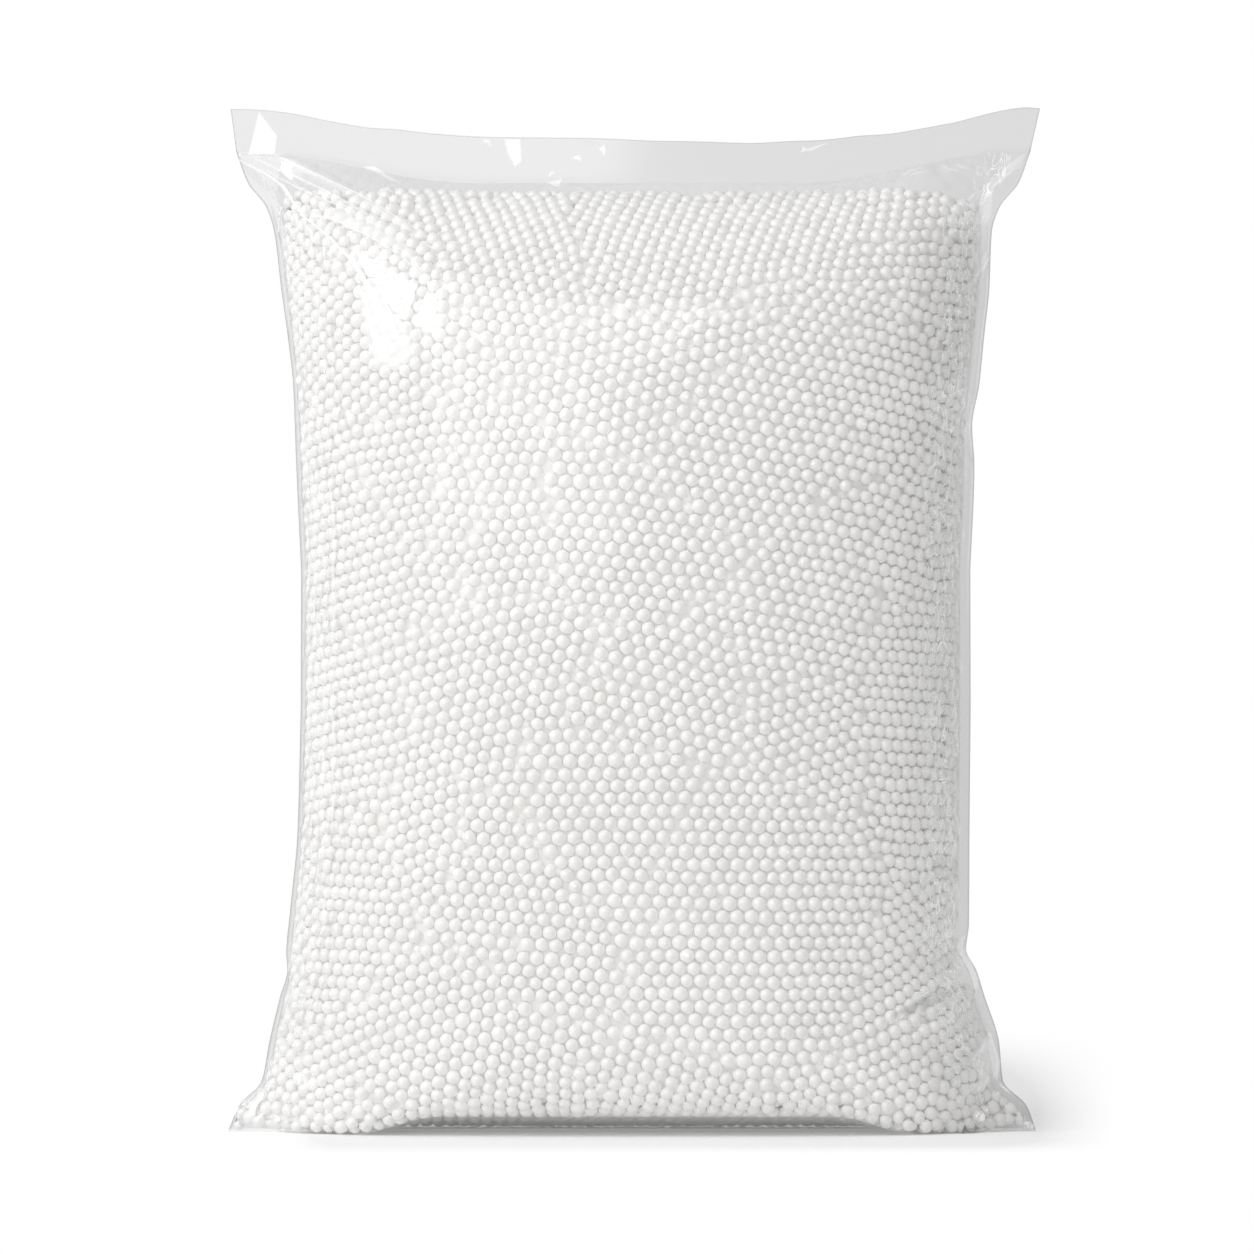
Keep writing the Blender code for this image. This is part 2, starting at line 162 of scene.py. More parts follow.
def squeeze_out(points):
    """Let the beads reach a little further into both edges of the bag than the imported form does."""
    x, z = points[:, 0], points[:, 2]
    for side, table in ((-1, LEFT_SQUEEZE), (1, RIGHT_SQUEEZE)):
        rim = np.array([np.max(side * x[np.abs(z - height) < SQUEEZE_BAND], initial=0)
                        for height in z])
        near = np.clip((side * x - rim) / SQUEEZE_WIDTH + 1, 0, 1)
        x += side * np.interp(z, *np.array(table).T) * near
    return points


fill_points, fill_faces = mesh_arrays(fill_node)
fill_points = squeeze_out(fill_points)
fill_tree = BVHTree.FromPolygons(fill_points.tolist(), fill_faces.tolist())
fill_sides = fill_points[fill_faces[:, 1:]] - fill_points[fill_faces[:, :1]]
face_areas = np.linalg.norm(np.cross(fill_sides[:, 0], fill_sides[:, 1]), axis=1) / 2


def nearest_on_fill(places):
    """Return the nearest points of the beads' outer form, and the directions out of it."""
    found = [fill_tree.find_nearest(place) for place in places]
    return np.array([hit[0][:] for hit in found]), np.array([hit[1][:] for hit in found])


class BeadHeap:
    """Beads laid against the film, kept in boxes so that the near ones are found quickly."""

    def __init__(self):
        self.boxes, self.beads = {}, []

    def box_of(self, place):
        """Return the box that a place is in."""
        return tuple(math.floor(value / (2 * BEAD_LARGEST)) for value in place)

    def room_at(self, place):
        """Return how large a bead fits at a place."""
        i, j, k = self.box_of(place)
        return min(((place - self.beads[number][0]).length - self.beads[number][1]
                    for a in (i - 1, i, i + 1) for b in (j - 1, j, j + 1) for c in (k - 1, k, k + 1)
                    for number in self.boxes.get((a, b, c), ())), default=BEAD_LARGEST)

    def lay(self, place, radius, outward=None, way=None):
        """Lay one bead, with the way in which its neighbours follow."""
        self.boxes.setdefault(self.box_of(place), []).append(len(self.beads))
        self.beads.append((place, radius, outward, way))

    def arrays(self):
        """Return the beads' places and radii."""
        return np.array([bead[0] for bead in self.beads]), np.array([bead[1] for bead in self.beads])


def anywhere(count):
    """Return random places on the beads' outer form, with the directions out of it."""
    chosen = rng.choice(len(fill_faces), size=count, p=face_areas / face_areas.sum())
    weights = rng.dirichlet((1, 1, 1), size=count)
    spots = (fill_points[fill_faces[chosen]] * weights[:, :, None]).sum(axis=1)
    return [fill_tree.find_nearest(spot)[:2] for spot in spots]


def any_radius():
    """Return the radius of a bead picked at random."""
    return BEAD_RADIUS * (1 + BEAD_SPREAD * min(max(rng.normal(), -2), 2))


def lay_beads():
    """Lay the beads side by side, outwards from a few first ones, as they pack against the film."""
    heap = BeadHeap()
    for place, outward in anywhere(BEAD_STARTS):
        if heap.room_at(place) > BEAD_RADIUS:
            turn = Quaternion(outward, rng.random() * math.pi)
            heap.lay(place, BEAD_RADIUS, outward, turn @ outward.orthogonal().normalized())
    for place, radius, outward, way in heap.beads:
        for step in range(6):
            size = any_radius()
            side = Quaternion(outward, math.pi / 3 * step) @ way
            found, facing = fill_tree.find_nearest(place + side * (radius + size))[:2]
            if heap.room_at(found) > BEAD_ROOM * size:
                heap.lay(found, size, facing, (side - facing * side.dot(facing)).normalized())
    return heap.arrays()


def fill_gaps(places, radii, room):
    """Press more beads in beside the others, wherever there is room for a share of a bead."""
    heap = BeadHeap()
    surface, outward = nearest_on_fill(places)
    for place, radius in zip(places, radii):
        heap.lay(Vector(place), radius)
    for spot, radius, way in zip(surface, radii, outward):
        way = Vector(way)
        first = way.orthogonal().normalized()
        for step in range(GAP_WAYS):
            size = any_radius()
            side = Quaternion(way, 2 * math.pi * (step + rng.random()) / GAP_WAYS) @ first
            found, facing = fill_tree.find_nearest(Vector(spot) + side * (radius + size) * GAP_REACH)[:2]
            centre = found - facing * (size - BEAD_PROUD)
            if heap.room_at(centre) > room * size:
                heap.lay(centre, size)
    return heap.arrays()


def fill_holes(places, radii):
    """Put more beads behind the outer layer, wherever it leaves a hole wider than three beads do."""
    tree, heap = KDTree(len(places)), BeadHeap()
    for number, (place, radius) in enumerate(zip(places, radii)):
        tree.insert(place, number)
        heap.lay(Vector(place), radius)
    tree.balance()
    spots = anywhere(HOLE_SPOTS)
    surface, outward = (np.array([spot[part][:] for spot in spots]) for part in (0, 1))
    near = np.array([[hit[1] for hit in tree.find_n(spot, HOLE_NEIGHBOURS)] for spot in surface])
    offset = places[near] - surface[:, None, :]
    along = (offset * outward[:, None, :]).sum(axis=-1)
    aside = np.sqrt(np.maximum((offset ** 2).sum(axis=-1) - along ** 2, 0))
    for number in np.nonzero((aside > HOLE_SIZE * radii[near]).all(axis=1))[0]:
        spot, way, size = Vector(surface[number]), Vector(outward[number]), any_radius()
        through = fill_tree.ray_cast(spot - way * RAY_START, -way)[3]
        centre = spot - way * HOLE_DEPTH * size
        if (through or 1) > 2 * HOLE_DEPTH * size and heap.room_at(centre) > HOLE_ROOM * size:
            heap.lay(centre, size)
    return heap.arrays()


def fill_ears(places, radii):
    """Add the small beads in the tips of the foot, where there is room for them."""
    heap = BeadHeap()
    for place, radius in zip(places, radii):
        heap.lay(Vector(place), radius)
    for across, height, radius in EAR_BEADS:
        place = Vector((across, EAR_SPREAD * rng.normal(), height)) / 1000
        if heap.room_at(place) > EAR_ROOM * radius / 1000:
            heap.lay(place, radius / 1000)
    return heap.arrays()


def touching_pairs(places, reach):
    """Return the pairs of beads that are close enough to touch."""
    tree = KDTree(len(places))
    for number, place in enumerate(places):
        tree.insert(place, number)
    tree.balance()
    pairs = [(number, other) for number, place in enumerate(places)
             for _, other, _ in tree.find_range(place, reach) if other > number]
    return np.array(pairs).T


def settle_beads(places, radii, turns):
    """Push the beads apart until they lie side by side against the film."""
    for turn in range(turns):
        if turn % PAIR_TURNS == 0:
            first, second = touching_pairs(places, PAIR_REACH * BEAD_LARGEST)
        apart = places[first] - places[second]
        distance = np.linalg.norm(apart, axis=1) + 1e-9
        overlap = np.clip(radii[first] + radii[second] - distance, 0, None)
        push = apart * (overlap / distance * 0.5)[:, None]
        for axis in range(3):
            places[:, axis] += np.bincount(first, push[:, axis], len(places)) * SETTLING_PUSH
            places[:, axis] -= np.bincount(second, push[:, axis], len(places)) * SETTLING_PUSH
        surface, outward = nearest_on_fill(places)
        depth = ((surface - places) * outward).sum(axis=1)
        places += outward * (depth - radii + BEAD_PROUD)[:, None]
        places[:, 2] = np.maximum(places[:, 2], radii + FLOOR_CLEARANCE)
    return places


def sink_beads(places, radii):
    """Let some beads lie a little deeper. Return their places and the directions out of the bag."""
    outward = nearest_on_fill(places)[1]
    sink = BEAD_SINK * rng.random(len(places)) ** 2
    places -= outward * sink[:, None]
    places[:, 2] = np.maximum(places[:, 2], radii + FLOOR_CLEARANCE)
    return places, outward


def bead_template():
    """Return one bead's points, with a pole towards the film, and its triangles."""
    points = [(0.0, 0.0, 1.0)]
    for angle, count in BEAD_RINGS:
        tilt = math.radians(angle)
        start = 0.5 if count == 6 else 0.0
        points += [(math.sin(tilt) * math.cos(2 * math.pi * (i + start) / count),
                    math.sin(tilt) * math.sin(2 * math.pi * (i + start) / count), math.cos(tilt))
                   for i in range(count)]
    points.append((0.0, 0.0, -BEAD_BACK))
    near, middle, far, last = 1, 7, 19, 31
    faces = []
    for i in range(6):
        inner, after = near + i, near + (i + 1) % 6
        outer = [middle + (2 * i + step) % 12 for step in range(3)]
        faces += [(0, inner, after), (inner, outer[0], outer[1]), (inner, outer[1], outer[2]),
                  (inner, outer[2], after)]
    for i in range(12):
        j = (i + 1) % 12
        faces += [(middle + i, far + i, far + j), (middle + i, far + j, middle + j),
                  (last, far + j, far + i)]
    return np.array(points), np.array(faces)


def combine(nodes, links, operation, first, second):
    """Return the output of one sum on two outputs or numbers."""
    node = nodes.new("ShaderNodeMath")
    node.operation = operation
    for socket, value in zip(node.inputs, (first, second)):
        if isinstance(value, float):
            socket.default_value = value
        else:
            links.new(value, socket)
    return node.outputs["Value"]


def bead_material(name, colour):
    """Expanded polystyrene: light soaks through it, so a bead's shading is softer than its shape. Its rim
    is painted lighter, and painted shade darkens it in the gaps.
    """
    material = bpy.data.materials.new(name)
    material.use_nodes = True
    nodes, links = material.node_tree.nodes, material.node_tree.links
    nodes.remove(nodes["Principled BSDF"])
    tone = nodes.new("ShaderNodeAttribute")
    tone.attribute_name = "tone"
    ramp = nodes.new("ShaderNodeValToRGB")
    for element, tone_share in zip(ramp.color_ramp.elements, BEAD_TONES):
        element.color = (*(min(tone_share * c, 1) for c in colour), 1)
    shape = nodes.new("ShaderNodeNewGeometry")
    bag = nodes.new("ShaderNodeAttribute")
    bag.attribute_name = "outward"
    soft = nodes.new("ShaderNodeMix")
    soft.data_type = "VECTOR"
    soft.inputs["Factor"].default_value = BEAD_SOFTNESS
    unit = nodes.new("ShaderNodeVectorMath")
    unit.operation = "NORMALIZE"
    # Painted rim light: the colour turns lighter towards each bead's edge as seen
    rim = nodes.new("ShaderNodeMix")
    rim.data_type = "RGBA"
    rim.inputs[7].default_value = (*RIM_LIGHT_COLOUR, 1)
    # Painted shade: the colour is multiplied by the shade attribute, darker on each bead's widest ring and
    # back, on deeper beads and on the beads behind
    shade = nodes.new("ShaderNodeAttribute")
    shade.attribute_name = "shade"
    deep = nodes.new("ShaderNodeMix")
    deep.data_type = "RGBA"
    deep.blend_type = "MULTIPLY"
    deep.inputs["Factor"].default_value = 1.0
    foam = nodes.new("ShaderNodeBsdfDiffuse")
    skin = nodes.new("ShaderNodeBsdfGlossy")
    skin.inputs["Roughness"].default_value = SKIN_ROUGHNESS
    skin.inputs["Color"].default_value = (1, 1, 1, 1)
    facing = nodes.new("ShaderNodeLayerWeight")
    facing.inputs["Blend"].default_value = 0.5
    steep = nodes.new("ShaderNodeMath")
    steep.operation = "POWER"
    steep.inputs[1].default_value = SKIN_STEEPNESS
    shine = nodes.new("ShaderNodeMapRange")
    shine.inputs["To Min"].default_value, shine.inputs["To Max"].default_value = SKIN_SHINE
    both = nodes.new("ShaderNodeMixShader")
    links.new(tone.outputs["Fac"], ramp.inputs["Fac"])
    links.new(ramp.outputs["Color"], rim.inputs[6])
    links.new(facing.outputs["Facing"], rim.inputs["Factor"])
    links.new(rim.outputs[2], deep.inputs[6])
    links.new(shade.outputs["Fac"], deep.inputs[7])
    links.new(deep.outputs[2], foam.inputs["Color"])
    links.new(shape.outputs["Normal"], soft.inputs[4])
    links.new(bag.outputs["Vector"], soft.inputs[5])
    links.new(soft.outputs[1], unit.inputs[0])
    links.new(unit.outputs["Vector"], foam.inputs["Normal"])
    links.new(facing.outputs["Facing"], steep.inputs[0])
    links.new(steep.outputs["Value"], shine.inputs["Value"])
    links.new(shine.outputs["Result"], both.inputs["Fac"])
    links.new(foam.outputs["BSDF"], both.inputs[1])
    links.new(skin.outputs["BSDF"], both.inputs[2])
    links.new(both.outputs["Shader"], nodes["Material Output"].inputs["Surface"])
    return material


bead_places, bead_radii = lay_beads()
for bead_room in GAP_ROOMS:
    bead_places = settle_beads(bead_places, bead_radii, BEAD_SETTLING)
    bead_places, bead_radii = fill_gaps(bead_places, bead_radii, bead_room)
bead_places = settle_beads(bead_places, bead_radii, LAST_SETTLING)
bead_places, bead_radii = fill_holes(bead_places, bead_radii)
bead_places, bead_radii = fill_ears(bead_places, bead_radii)
bead_places, bead_outward = sink_beads(bead_places, bead_radii)
bead_level = BEAD_LEVEL + np.array([
    LEVEL_WAVE * noise.noise((x * LEVEL_WAVES[0], y * LEVEL_WAVES[1], 0.5)) - LEVEL_DROP
    for x, y, _ in bead_places])
bead_kept = bead_places[:, 2] < bead_level
bead_places, bead_radii, bead_outward = (
    values[bead_kept] for values in (bead_places, bead_radii, bead_outward))
bead_count = len(bead_places)
bead_white = bead_material("expanded_polystyrene", BEAD_COLOUR)


def bead_axes(outward):
    """Return three square axes for each bead, the third out of the bag, turned at random about it."""
    other = np.where(np.abs(outward[:, 2:]) < 0.9, (0.0, 0.0, 1.0), (1.0, 0.0, 0.0))
    side = np.cross(other, outward)
    side /= np.linalg.norm(side, axis=1)[:, None]
    third = np.cross(outward, side)
    turn = rng.random(len(outward))[:, None] * 2 * math.pi
    first = side * np.cos(turn) + third * np.sin(turn)
    return np.stack((first, np.cross(outward, first), outward), axis=1)


def make_beads():
    """Make the outer layer of beads, in lots from the floor up."""
    ball, ball_faces = bead_template()
    axes = bead_axes(bead_outward)
    tone = np.clip(rng.normal(TONE_MIDDLE, TONE_SPREAD, bead_count), 0, 1)
    ring_counts = (1, *(count for _, count in BEAD_RINGS), 1)
    ring_shade = np.repeat((1.0, *RING_SHADES, BACK_SHADE), ring_counts)
    # Painted shade: beads that lie deeper than the outer layer are darker
    surface = nearest_on_fill(bead_places)[0]
    depth = ((surface - bead_places) * bead_outward).sum(axis=1) / bead_radii - 1
    bead_shade = 1 - DEEP_SHADE * np.clip(depth - DEEP_FROM, 0, 1)
    stretch = 1 + BEAD_STRETCH * rng.normal(size=(bead_count, 3))
    order = np.argsort(bead_places[:, 2])
    for number, lot in enumerate(np.array_split(order, BEAD_LOTS)):
        scaled = ball[None] * (bead_radii[lot, None] * stretch[lot])[:, None, :]
        points = bead_places[lot, None, :] + np.einsum("npi,nij->npj", scaled, axes[lot])
        faces = ball_faces[None] + (np.arange(len(lot)) * len(ball))[:, None, None]
        name = f"beads_{number + 1}"
        lot_piece = mesh_from_arrays(name, points.reshape(-1, 3), faces.reshape(-1, 3))
        add_point_values(lot_piece, "tone", np.repeat(tone[lot], len(ball)))
        add_point_values(lot_piece, "shade", (bead_shade[lot, None] * ring_shade[None, :]).ravel())
        add_point_ways(lot_piece, "outward", np.repeat(bead_outward[lot], len(ball), axis=0))
        lot_piece.data.materials.append(bead_white)
        lot_piece.visible_shadow = False
        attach(lot_piece, "root")
        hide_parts("bead_fill")


def make_core():
    """Make the beads behind the outer layer, as one body seen through the gaps."""
    points, welded = np.unique(np.round(fill_points, WELD_DIGITS), axis=0, return_inverse=True)
    faces = welded.reshape(-1)[fill_faces]
    normals = np.zeros_like(points)
    for corner in range(3):
        np.add.at(normals, faces[:, corner], np.cross(fill_sides[:, 0], fill_sides[:, 1]))
    normals /= np.linalg.norm(normals, axis=1)[:, None]
    places = points.copy()
    for number, (point, normal) in enumerate(zip(points, normals)):
        through = fill_tree.ray_cast(point - normal * RAY_START, -normal)[3]
        places[number] -= normal * min(CORE_DEPTH, CORE_SHARE * (through or CORE_DEPTH))
    places[:, 2] = np.clip(places[:, 2], FLOOR_CLEARANCE, BEAD_LEVEL - CORE_DROP * CORE_DEPTH)
    core = mesh_from_arrays("beads_behind", places, faces)
    add_point_values(core, "tone", np.full(len(places), CORE_TONE))
    # Painted shade: the beads behind are a little darker than the outer layer
    add_point_values(core, "shade", np.full(len(places), CORE_SHADE))
    add_point_ways(core, "outward", normals)
    core.data.materials.append(bead_white)
    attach(core, "root")
    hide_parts("bead_fill")


make_beads()
make_core()

# The film bag: one length of clear polyethylene tube, 0.1 mm thick, welded flat across the bottom and
# across the top. The beads press it out between the welds, and its spare width folds at the corners.
FILM_WIDTH = 0.290
FLAT_HALF_WIDTH = FILM_WIDTH / 2
FILM_GAUGE = 0.0001
EDGE_GAP = 0.0006

# The top weld, its rise at the corners, the fin above it, and the empty horns beside it
SEAL_HEIGHT = 0.3375
CORNER_RISE = 0.0118
EDGE_SEAL_HEIGHT = SEAL_HEIGHT + CORNER_RISE
FIN_HEIGHT = 0.0149
FIN_BOW = 0.007
HORN_WIDTH = 0.015
HORN_DROP = 0.031

# The wave in the fin's top edge, as (place across, rise) in millimetres
FIN_WAVE = (
    (-145, 0.7), (-125, 0.5), (-110, 0.0), (-97, 0.3), (-84, 1.8), (-66, 2.2), (-48, 1.6),
    (-30, 1.4), (-12, 1.1), (5, 0.3), (22, 0.0), (41, -0.5), (60, 0.4), (77, 0.4), (94, -1.1),
    (112, -1.4), (130, 0.4), (140, 1.3), (145, 1.0),
)

# The body: its half depth, and where its shoulder, heel and ears end, in the middle or at the side fold
BELLY_HALF_DEPTH = 0.060
SHOULDER_HEIGHT = 0.075
SHOULDER_START = SEAL_HEIGHT - SHOULDER_HEIGHT
HEEL_HEIGHT = 0.042
HEEL_EDGE_HEIGHT = 0.070
EAR_HEIGHT = 0.018

# The foot: how far the film lies on the floor, the skirt under it, and the arch in front
FLOOR_RUN = 0.038
SKIRT_LENGTH = 0.008
ARCH_RISE = 0.0065
ARCH_HALF_SPAN = 0.100
ARCH_BLEND = 0.032
ARCH_DEPTH = 0.034

# For each side: how far the beads draw the side fold in, the empty strip along it, and the share of
# that draw given back towards the foot and towards the top weld, by the run from each as a share
EDGE_RUN = 0.150
SIDE_FOLDS = {
    -1: (0.0260, 0.0015,
         ((0.0, 0.97), (0.06, 0.82), (0.12, 0.52), (0.21, 0.42), (0.32, 0.27), (0.38, 0.175),
          (0.42, 0.19), (0.52, 0.14), (0.71, 0.04), (1.0, 0.0)),
         ((0.0, 0.92), (0.073, 0.76), (0.133, 0.50), (0.193, 0.39), (0.327, 0.29), (0.447, 0.19),
          (0.56, 0.115), (0.75, 0.07), (1.0, 0.0))),
    1: (0.0258, 0.0035,
        ((0.0, 0.88), (0.06, 0.75), (0.12, 0.43), (0.21, 0.38), (0.32, 0.18), (0.38, 0.07),
         (0.43, -0.07), (0.49, -0.03), (0.71, -0.02), (1.0, 0.0)),
        ((0.0, 0.86), (0.073, 0.70), (0.133, 0.43), (0.193, 0.32), (0.327, 0.28), (0.447, 0.20),
         (0.56, 0.13), (0.66, 0.03), (0.75, 0.06), (1.0, 0.0))),
}

# Section at the foot, the body and the top: end power, side power, and where the rise of the film
# towards the side fold begins and ends
FOOT_SECTION = np.array((4.5, 0.75, 0.88, 1.0))
BODY_SECTION = np.array((2.6, 0.78, 0.20, 1.0))
TOP_SECTION = np.array((4.0, 0.80, 0.40, 0.98))
FLOOR_POWER = 0.6
TOP_POWERS = (2.2, 0.9)

# How finely each ply is meshed: its columns lie closer together towards the side folds
FRONT, BACK = -1, 1
TOP_START = 0.285
FRONT_COLUMNS = 380
BACK_COLUMNS = 150
FIN_COLUMNS = 700
SKIRT_ROWS = 4
FRONT_ROWS = 246
TOP_ROWS = 131
BACK_ROWS = 222
FIN_ROWS = 36
BACK_FIN_ROWS = 8
WELD_ROWS = 6
COLUMN_CROWDING = 0.25
ROW_STEPS, EDGE_SHARE = 2001, 0.4
FOLD_LINE = 0.9999

# The vent in the back: its place across and up, its radius, and what is drawn to its rim
VENT_PLACE = np.array((0.055, SEAL_HEIGHT - 0.050))
VENT_RADIUS = 0.0015
VENT_REACH = 0.0024


def ease(share):
    """Return a smooth step from 0 to 1."""
    share = np.clip(share, 0.0, 1.0)
    return share * share * (3 - 2 * share)


def read_line(line, places):
    """Read a smooth line through (place, value) points that never swings past them."""
    x, y = np.array(line).T
    slopes = np.diff(y) / np.diff(x)
    before, after = slopes[:-1], slopes[1:]
    same_way = before * after > 0
    inner = np.where(same_way, 2 * before * after / np.where(same_way, before + after, 1), 0.0)
    tangents = np.concatenate((slopes[:1], inner, slopes[-1:]))
    places = np.clip(places, x[0], x[-1])
    span = np.clip(np.searchsorted(x, places) - 1, 0, len(slopes) - 1)
    length = x[span + 1] - x[span]
    t = (places - x[span]) / length
    return (y[span] * (1 + 2 * t) * (1 - t) ** 2 + y[span + 1] * t * t * (3 - 2 * t)
            + tangents[span] * length * t * (1 - t) ** 2 + tangents[span + 1] * length * t * t * (t - 1))


def side_fold(side, height):
    """Return how far the tube's side fold stands out at a height."""
    draw, _, foot, top = SIDE_FOLDS[side]
    given = read_line(foot, height / EDGE_RUN) + read_line(top, (EDGE_SEAL_HEIGHT - height) / EDGE_RUN)
    return FLAT_HALF_WIDTH - draw * (1 - given)


def half_width(shares, heights):
    """Return the side fold's distance for points on either half of the bag."""
    return np.where(shares < 0, side_fold(-1, heights), side_fold(1, heights))


def row_shape(edge_heights):
    """Return each row's depth, its height in the middle, and its section."""
    floor = np.clip(edge_heights / EAR_HEIGHT, 0, 1)
    heel = np.clip((edge_heights - EAR_HEIGHT) / (HEEL_EDGE_HEIGHT - EAR_HEIGHT), 0, 1)
    wall = np.clip((edge_heights - HEEL_EDGE_HEIGHT) / (SHOULDER_START - HEEL_EDGE_HEIGHT), 0, 1)
    top = np.clip((edge_heights - SHOULDER_START) / (EDGE_SEAL_HEIGHT - SHOULDER_START), 0, 1)
    depth = FLOOR_RUN * floor ** FLOOR_POWER + (BELLY_HALF_DEPTH - FLOOR_RUN) * np.sin(heel * math.pi / 2)
    depth *= (1 - top ** TOP_POWERS[0]) ** TOP_POWERS[1]
    height = HEEL_HEIGHT * (1 - np.cos(heel * math.pi / 2))
    height += (SHOULDER_START - HEEL_HEIGHT) * wall + (SEAL_HEIGHT - SHOULDER_START) * top
    section = (FOOT_SECTION + (BODY_SECTION - FOOT_SECTION) * ease(heel)[..., None]
               + (TOP_SECTION - BODY_SECTION) * ease(top)[..., None])
    return depth, height, section


def film_points(ply, shares, edge_heights):
    """Return points of the smooth film, for shares of the half width and heights of the side fold."""
    depth, height, section = row_shape(edge_heights)
    end_power, side_power, rise_from, rise_to = np.moveaxis(section, -1, 0)
    width = half_width(shares, edge_heights)
    strip = np.where(shares < 0, SIDE_FOLDS[-1][1], SIDE_FOLDS[1][1])
    horn = ease((edge_heights - EDGE_SEAL_HEIGHT) / HORN_DROP + 1)
    across = np.minimum(np.abs(shares) / (1 - (strip + (HORN_WIDTH - strip) * horn) / width), 1.0)
    swell = (1 - across ** end_power) ** side_power
    gap = EDGE_GAP / 2 + np.maximum(depth - EDGE_GAP / 2, 0.0) * swell
    rise = ease((np.abs(shares) - rise_from) / (rise_to - rise_from))
    z = height + (edge_heights - height) * rise
    if ply == BACK:
        over_skirt = 1 - ease(gap / SKIRT_LENGTH - 1)
        z = z + (2 * FILM_GAUGE + EDGE_GAP) * over_skirt * (1 - ease(z / EAR_HEIGHT))
    gap = np.where(np.abs(shares) > FOLD_LINE, 0.0, gap)
    return np.stack((width * shares, ply * gap, z), axis=-1)


def fin_points(ply, shares, climbs):
    """Return points of the two flat plies above the top weld."""
    weld = half_width(shares, np.full_like(shares, EDGE_SEAL_HEIGHT))
    x = (weld + (FLAT_HALF_WIDTH - weld) * climbs) * shares
    rise = ease((np.abs(shares) - TOP_SECTION[2]) / (TOP_SECTION[3] - TOP_SECTION[2]))
    gap = np.where(np.abs(shares) > FOLD_LINE, 0.0, FILM_GAUGE)
    wave = read_line(FIN_WAVE, x * 1000) / 1000
    height = SEAL_HEIGHT + CORNER_RISE * rise + (FIN_HEIGHT + wave) * climbs
    return np.stack((x, ply * gap, height), axis=-1)


def drape(points):
    """Arch the front of the foot off the floor, and bow the corners of the top weld backwards."""
    x, y, z = np.moveaxis(points, -1, 0)
    arch = (1 - ease((np.abs(x) - ARCH_HALF_SPAN + ARCH_BLEND) / ARCH_BLEND)) * ease(-y / ARCH_DEPTH)
    lifted = z + ARCH_RISE * arch * (1 - ease(z / HEEL_EDGE_HEIGHT))
    bow = FIN_BOW * (x / FLAT_HALF_WIDTH) ** 2 * ease((z - SHOULDER_START) / SHOULDER_HEIGHT)
    return np.stack((x, y + bow, lifted), axis=-1)


def row_heights(count, start, end):
    """Return the side-fold heights of evenly spaced rows, measured along the film over the middle."""
    fine = np.linspace(start, end, ROW_STEPS)
    depth, height, _ = row_shape(fine)
    steps = np.hypot(np.diff(depth), np.diff(height)) + EDGE_SHARE * np.diff(fine)
    run = np.concatenate(([0], np.cumsum(steps)))
    return np.interp(np.linspace(0, run[-1], count), run, fine)


def column_shares(count):
    """Return the columns' places across the film, closer together towards the side folds."""
    even = np.linspace(-1, 1, count)
    return even + COLUMN_CROWDING * (even - even ** 3)


def body_grid(ply, columns, rows, start, end):
    """Return the smooth film's points between two heights, row by row."""
    return drape(film_points(ply, *np.meshgrid(column_shares(columns), row_heights(rows, start, end))))


def fin_grid(ply, columns, rows):
    """Return the points of one ply of the fin above the top weld."""
    return drape(fin_points(ply, *np.meshgrid(column_shares(columns), np.linspace(0, 1, rows))))


def skirt_grid(columns, rows):
    """Return the points of the skirt under the bottom weld, up to that weld."""
    across, back = np.meshgrid(column_shares(columns), np.linspace(1, 0, rows + 1)[:-1])
    width = half_width(across, np.zeros_like(across))
    return np.stack((width * across, SKIRT_LENGTH * back, np.zeros_like(across)), axis=-1)


def grid_normals(grid, ply):
    """Return the directions out of the bag at the points of a grid."""
    across = np.gradient(grid, axis=1)
    up = np.gradient(grid, axis=0)
    normals = np.cross(across, up) * -ply
    return normals / (np.linalg.norm(normals, axis=-1, keepdims=True) + 1e-12)


# How the film lies on the beads: it sags a little between them, stands off where it is free, and comes
# back to its smooth form at the side folds
FILM_SLACK = 0.0002
FILM_RELAXING = 3
NEAR_BEADS = 4
MOST_LIFT = 0.0030
FREE_LIFT = 0.0007
FREE_EDGE = 3.0
SIDE_SHARE = 0.02

# Where the front ply is free of the beads, in millimetres (across, up) from the middle of the foot
FREE_FILM = (
    ((-147, 360), (-142, 346), (-118, 324), (-106, 314), (-94, 299), (-80, 279), (-74, 297), (-70, 314),
     (-92, 330), (-129, 352)),
    ((117, 66), (110, 52), (92, 44), (96, 36), (112, 40), (122, 50), (124, 62)),
    ((141, 350), (126, 336), (126, 324), (140, 330)),
)
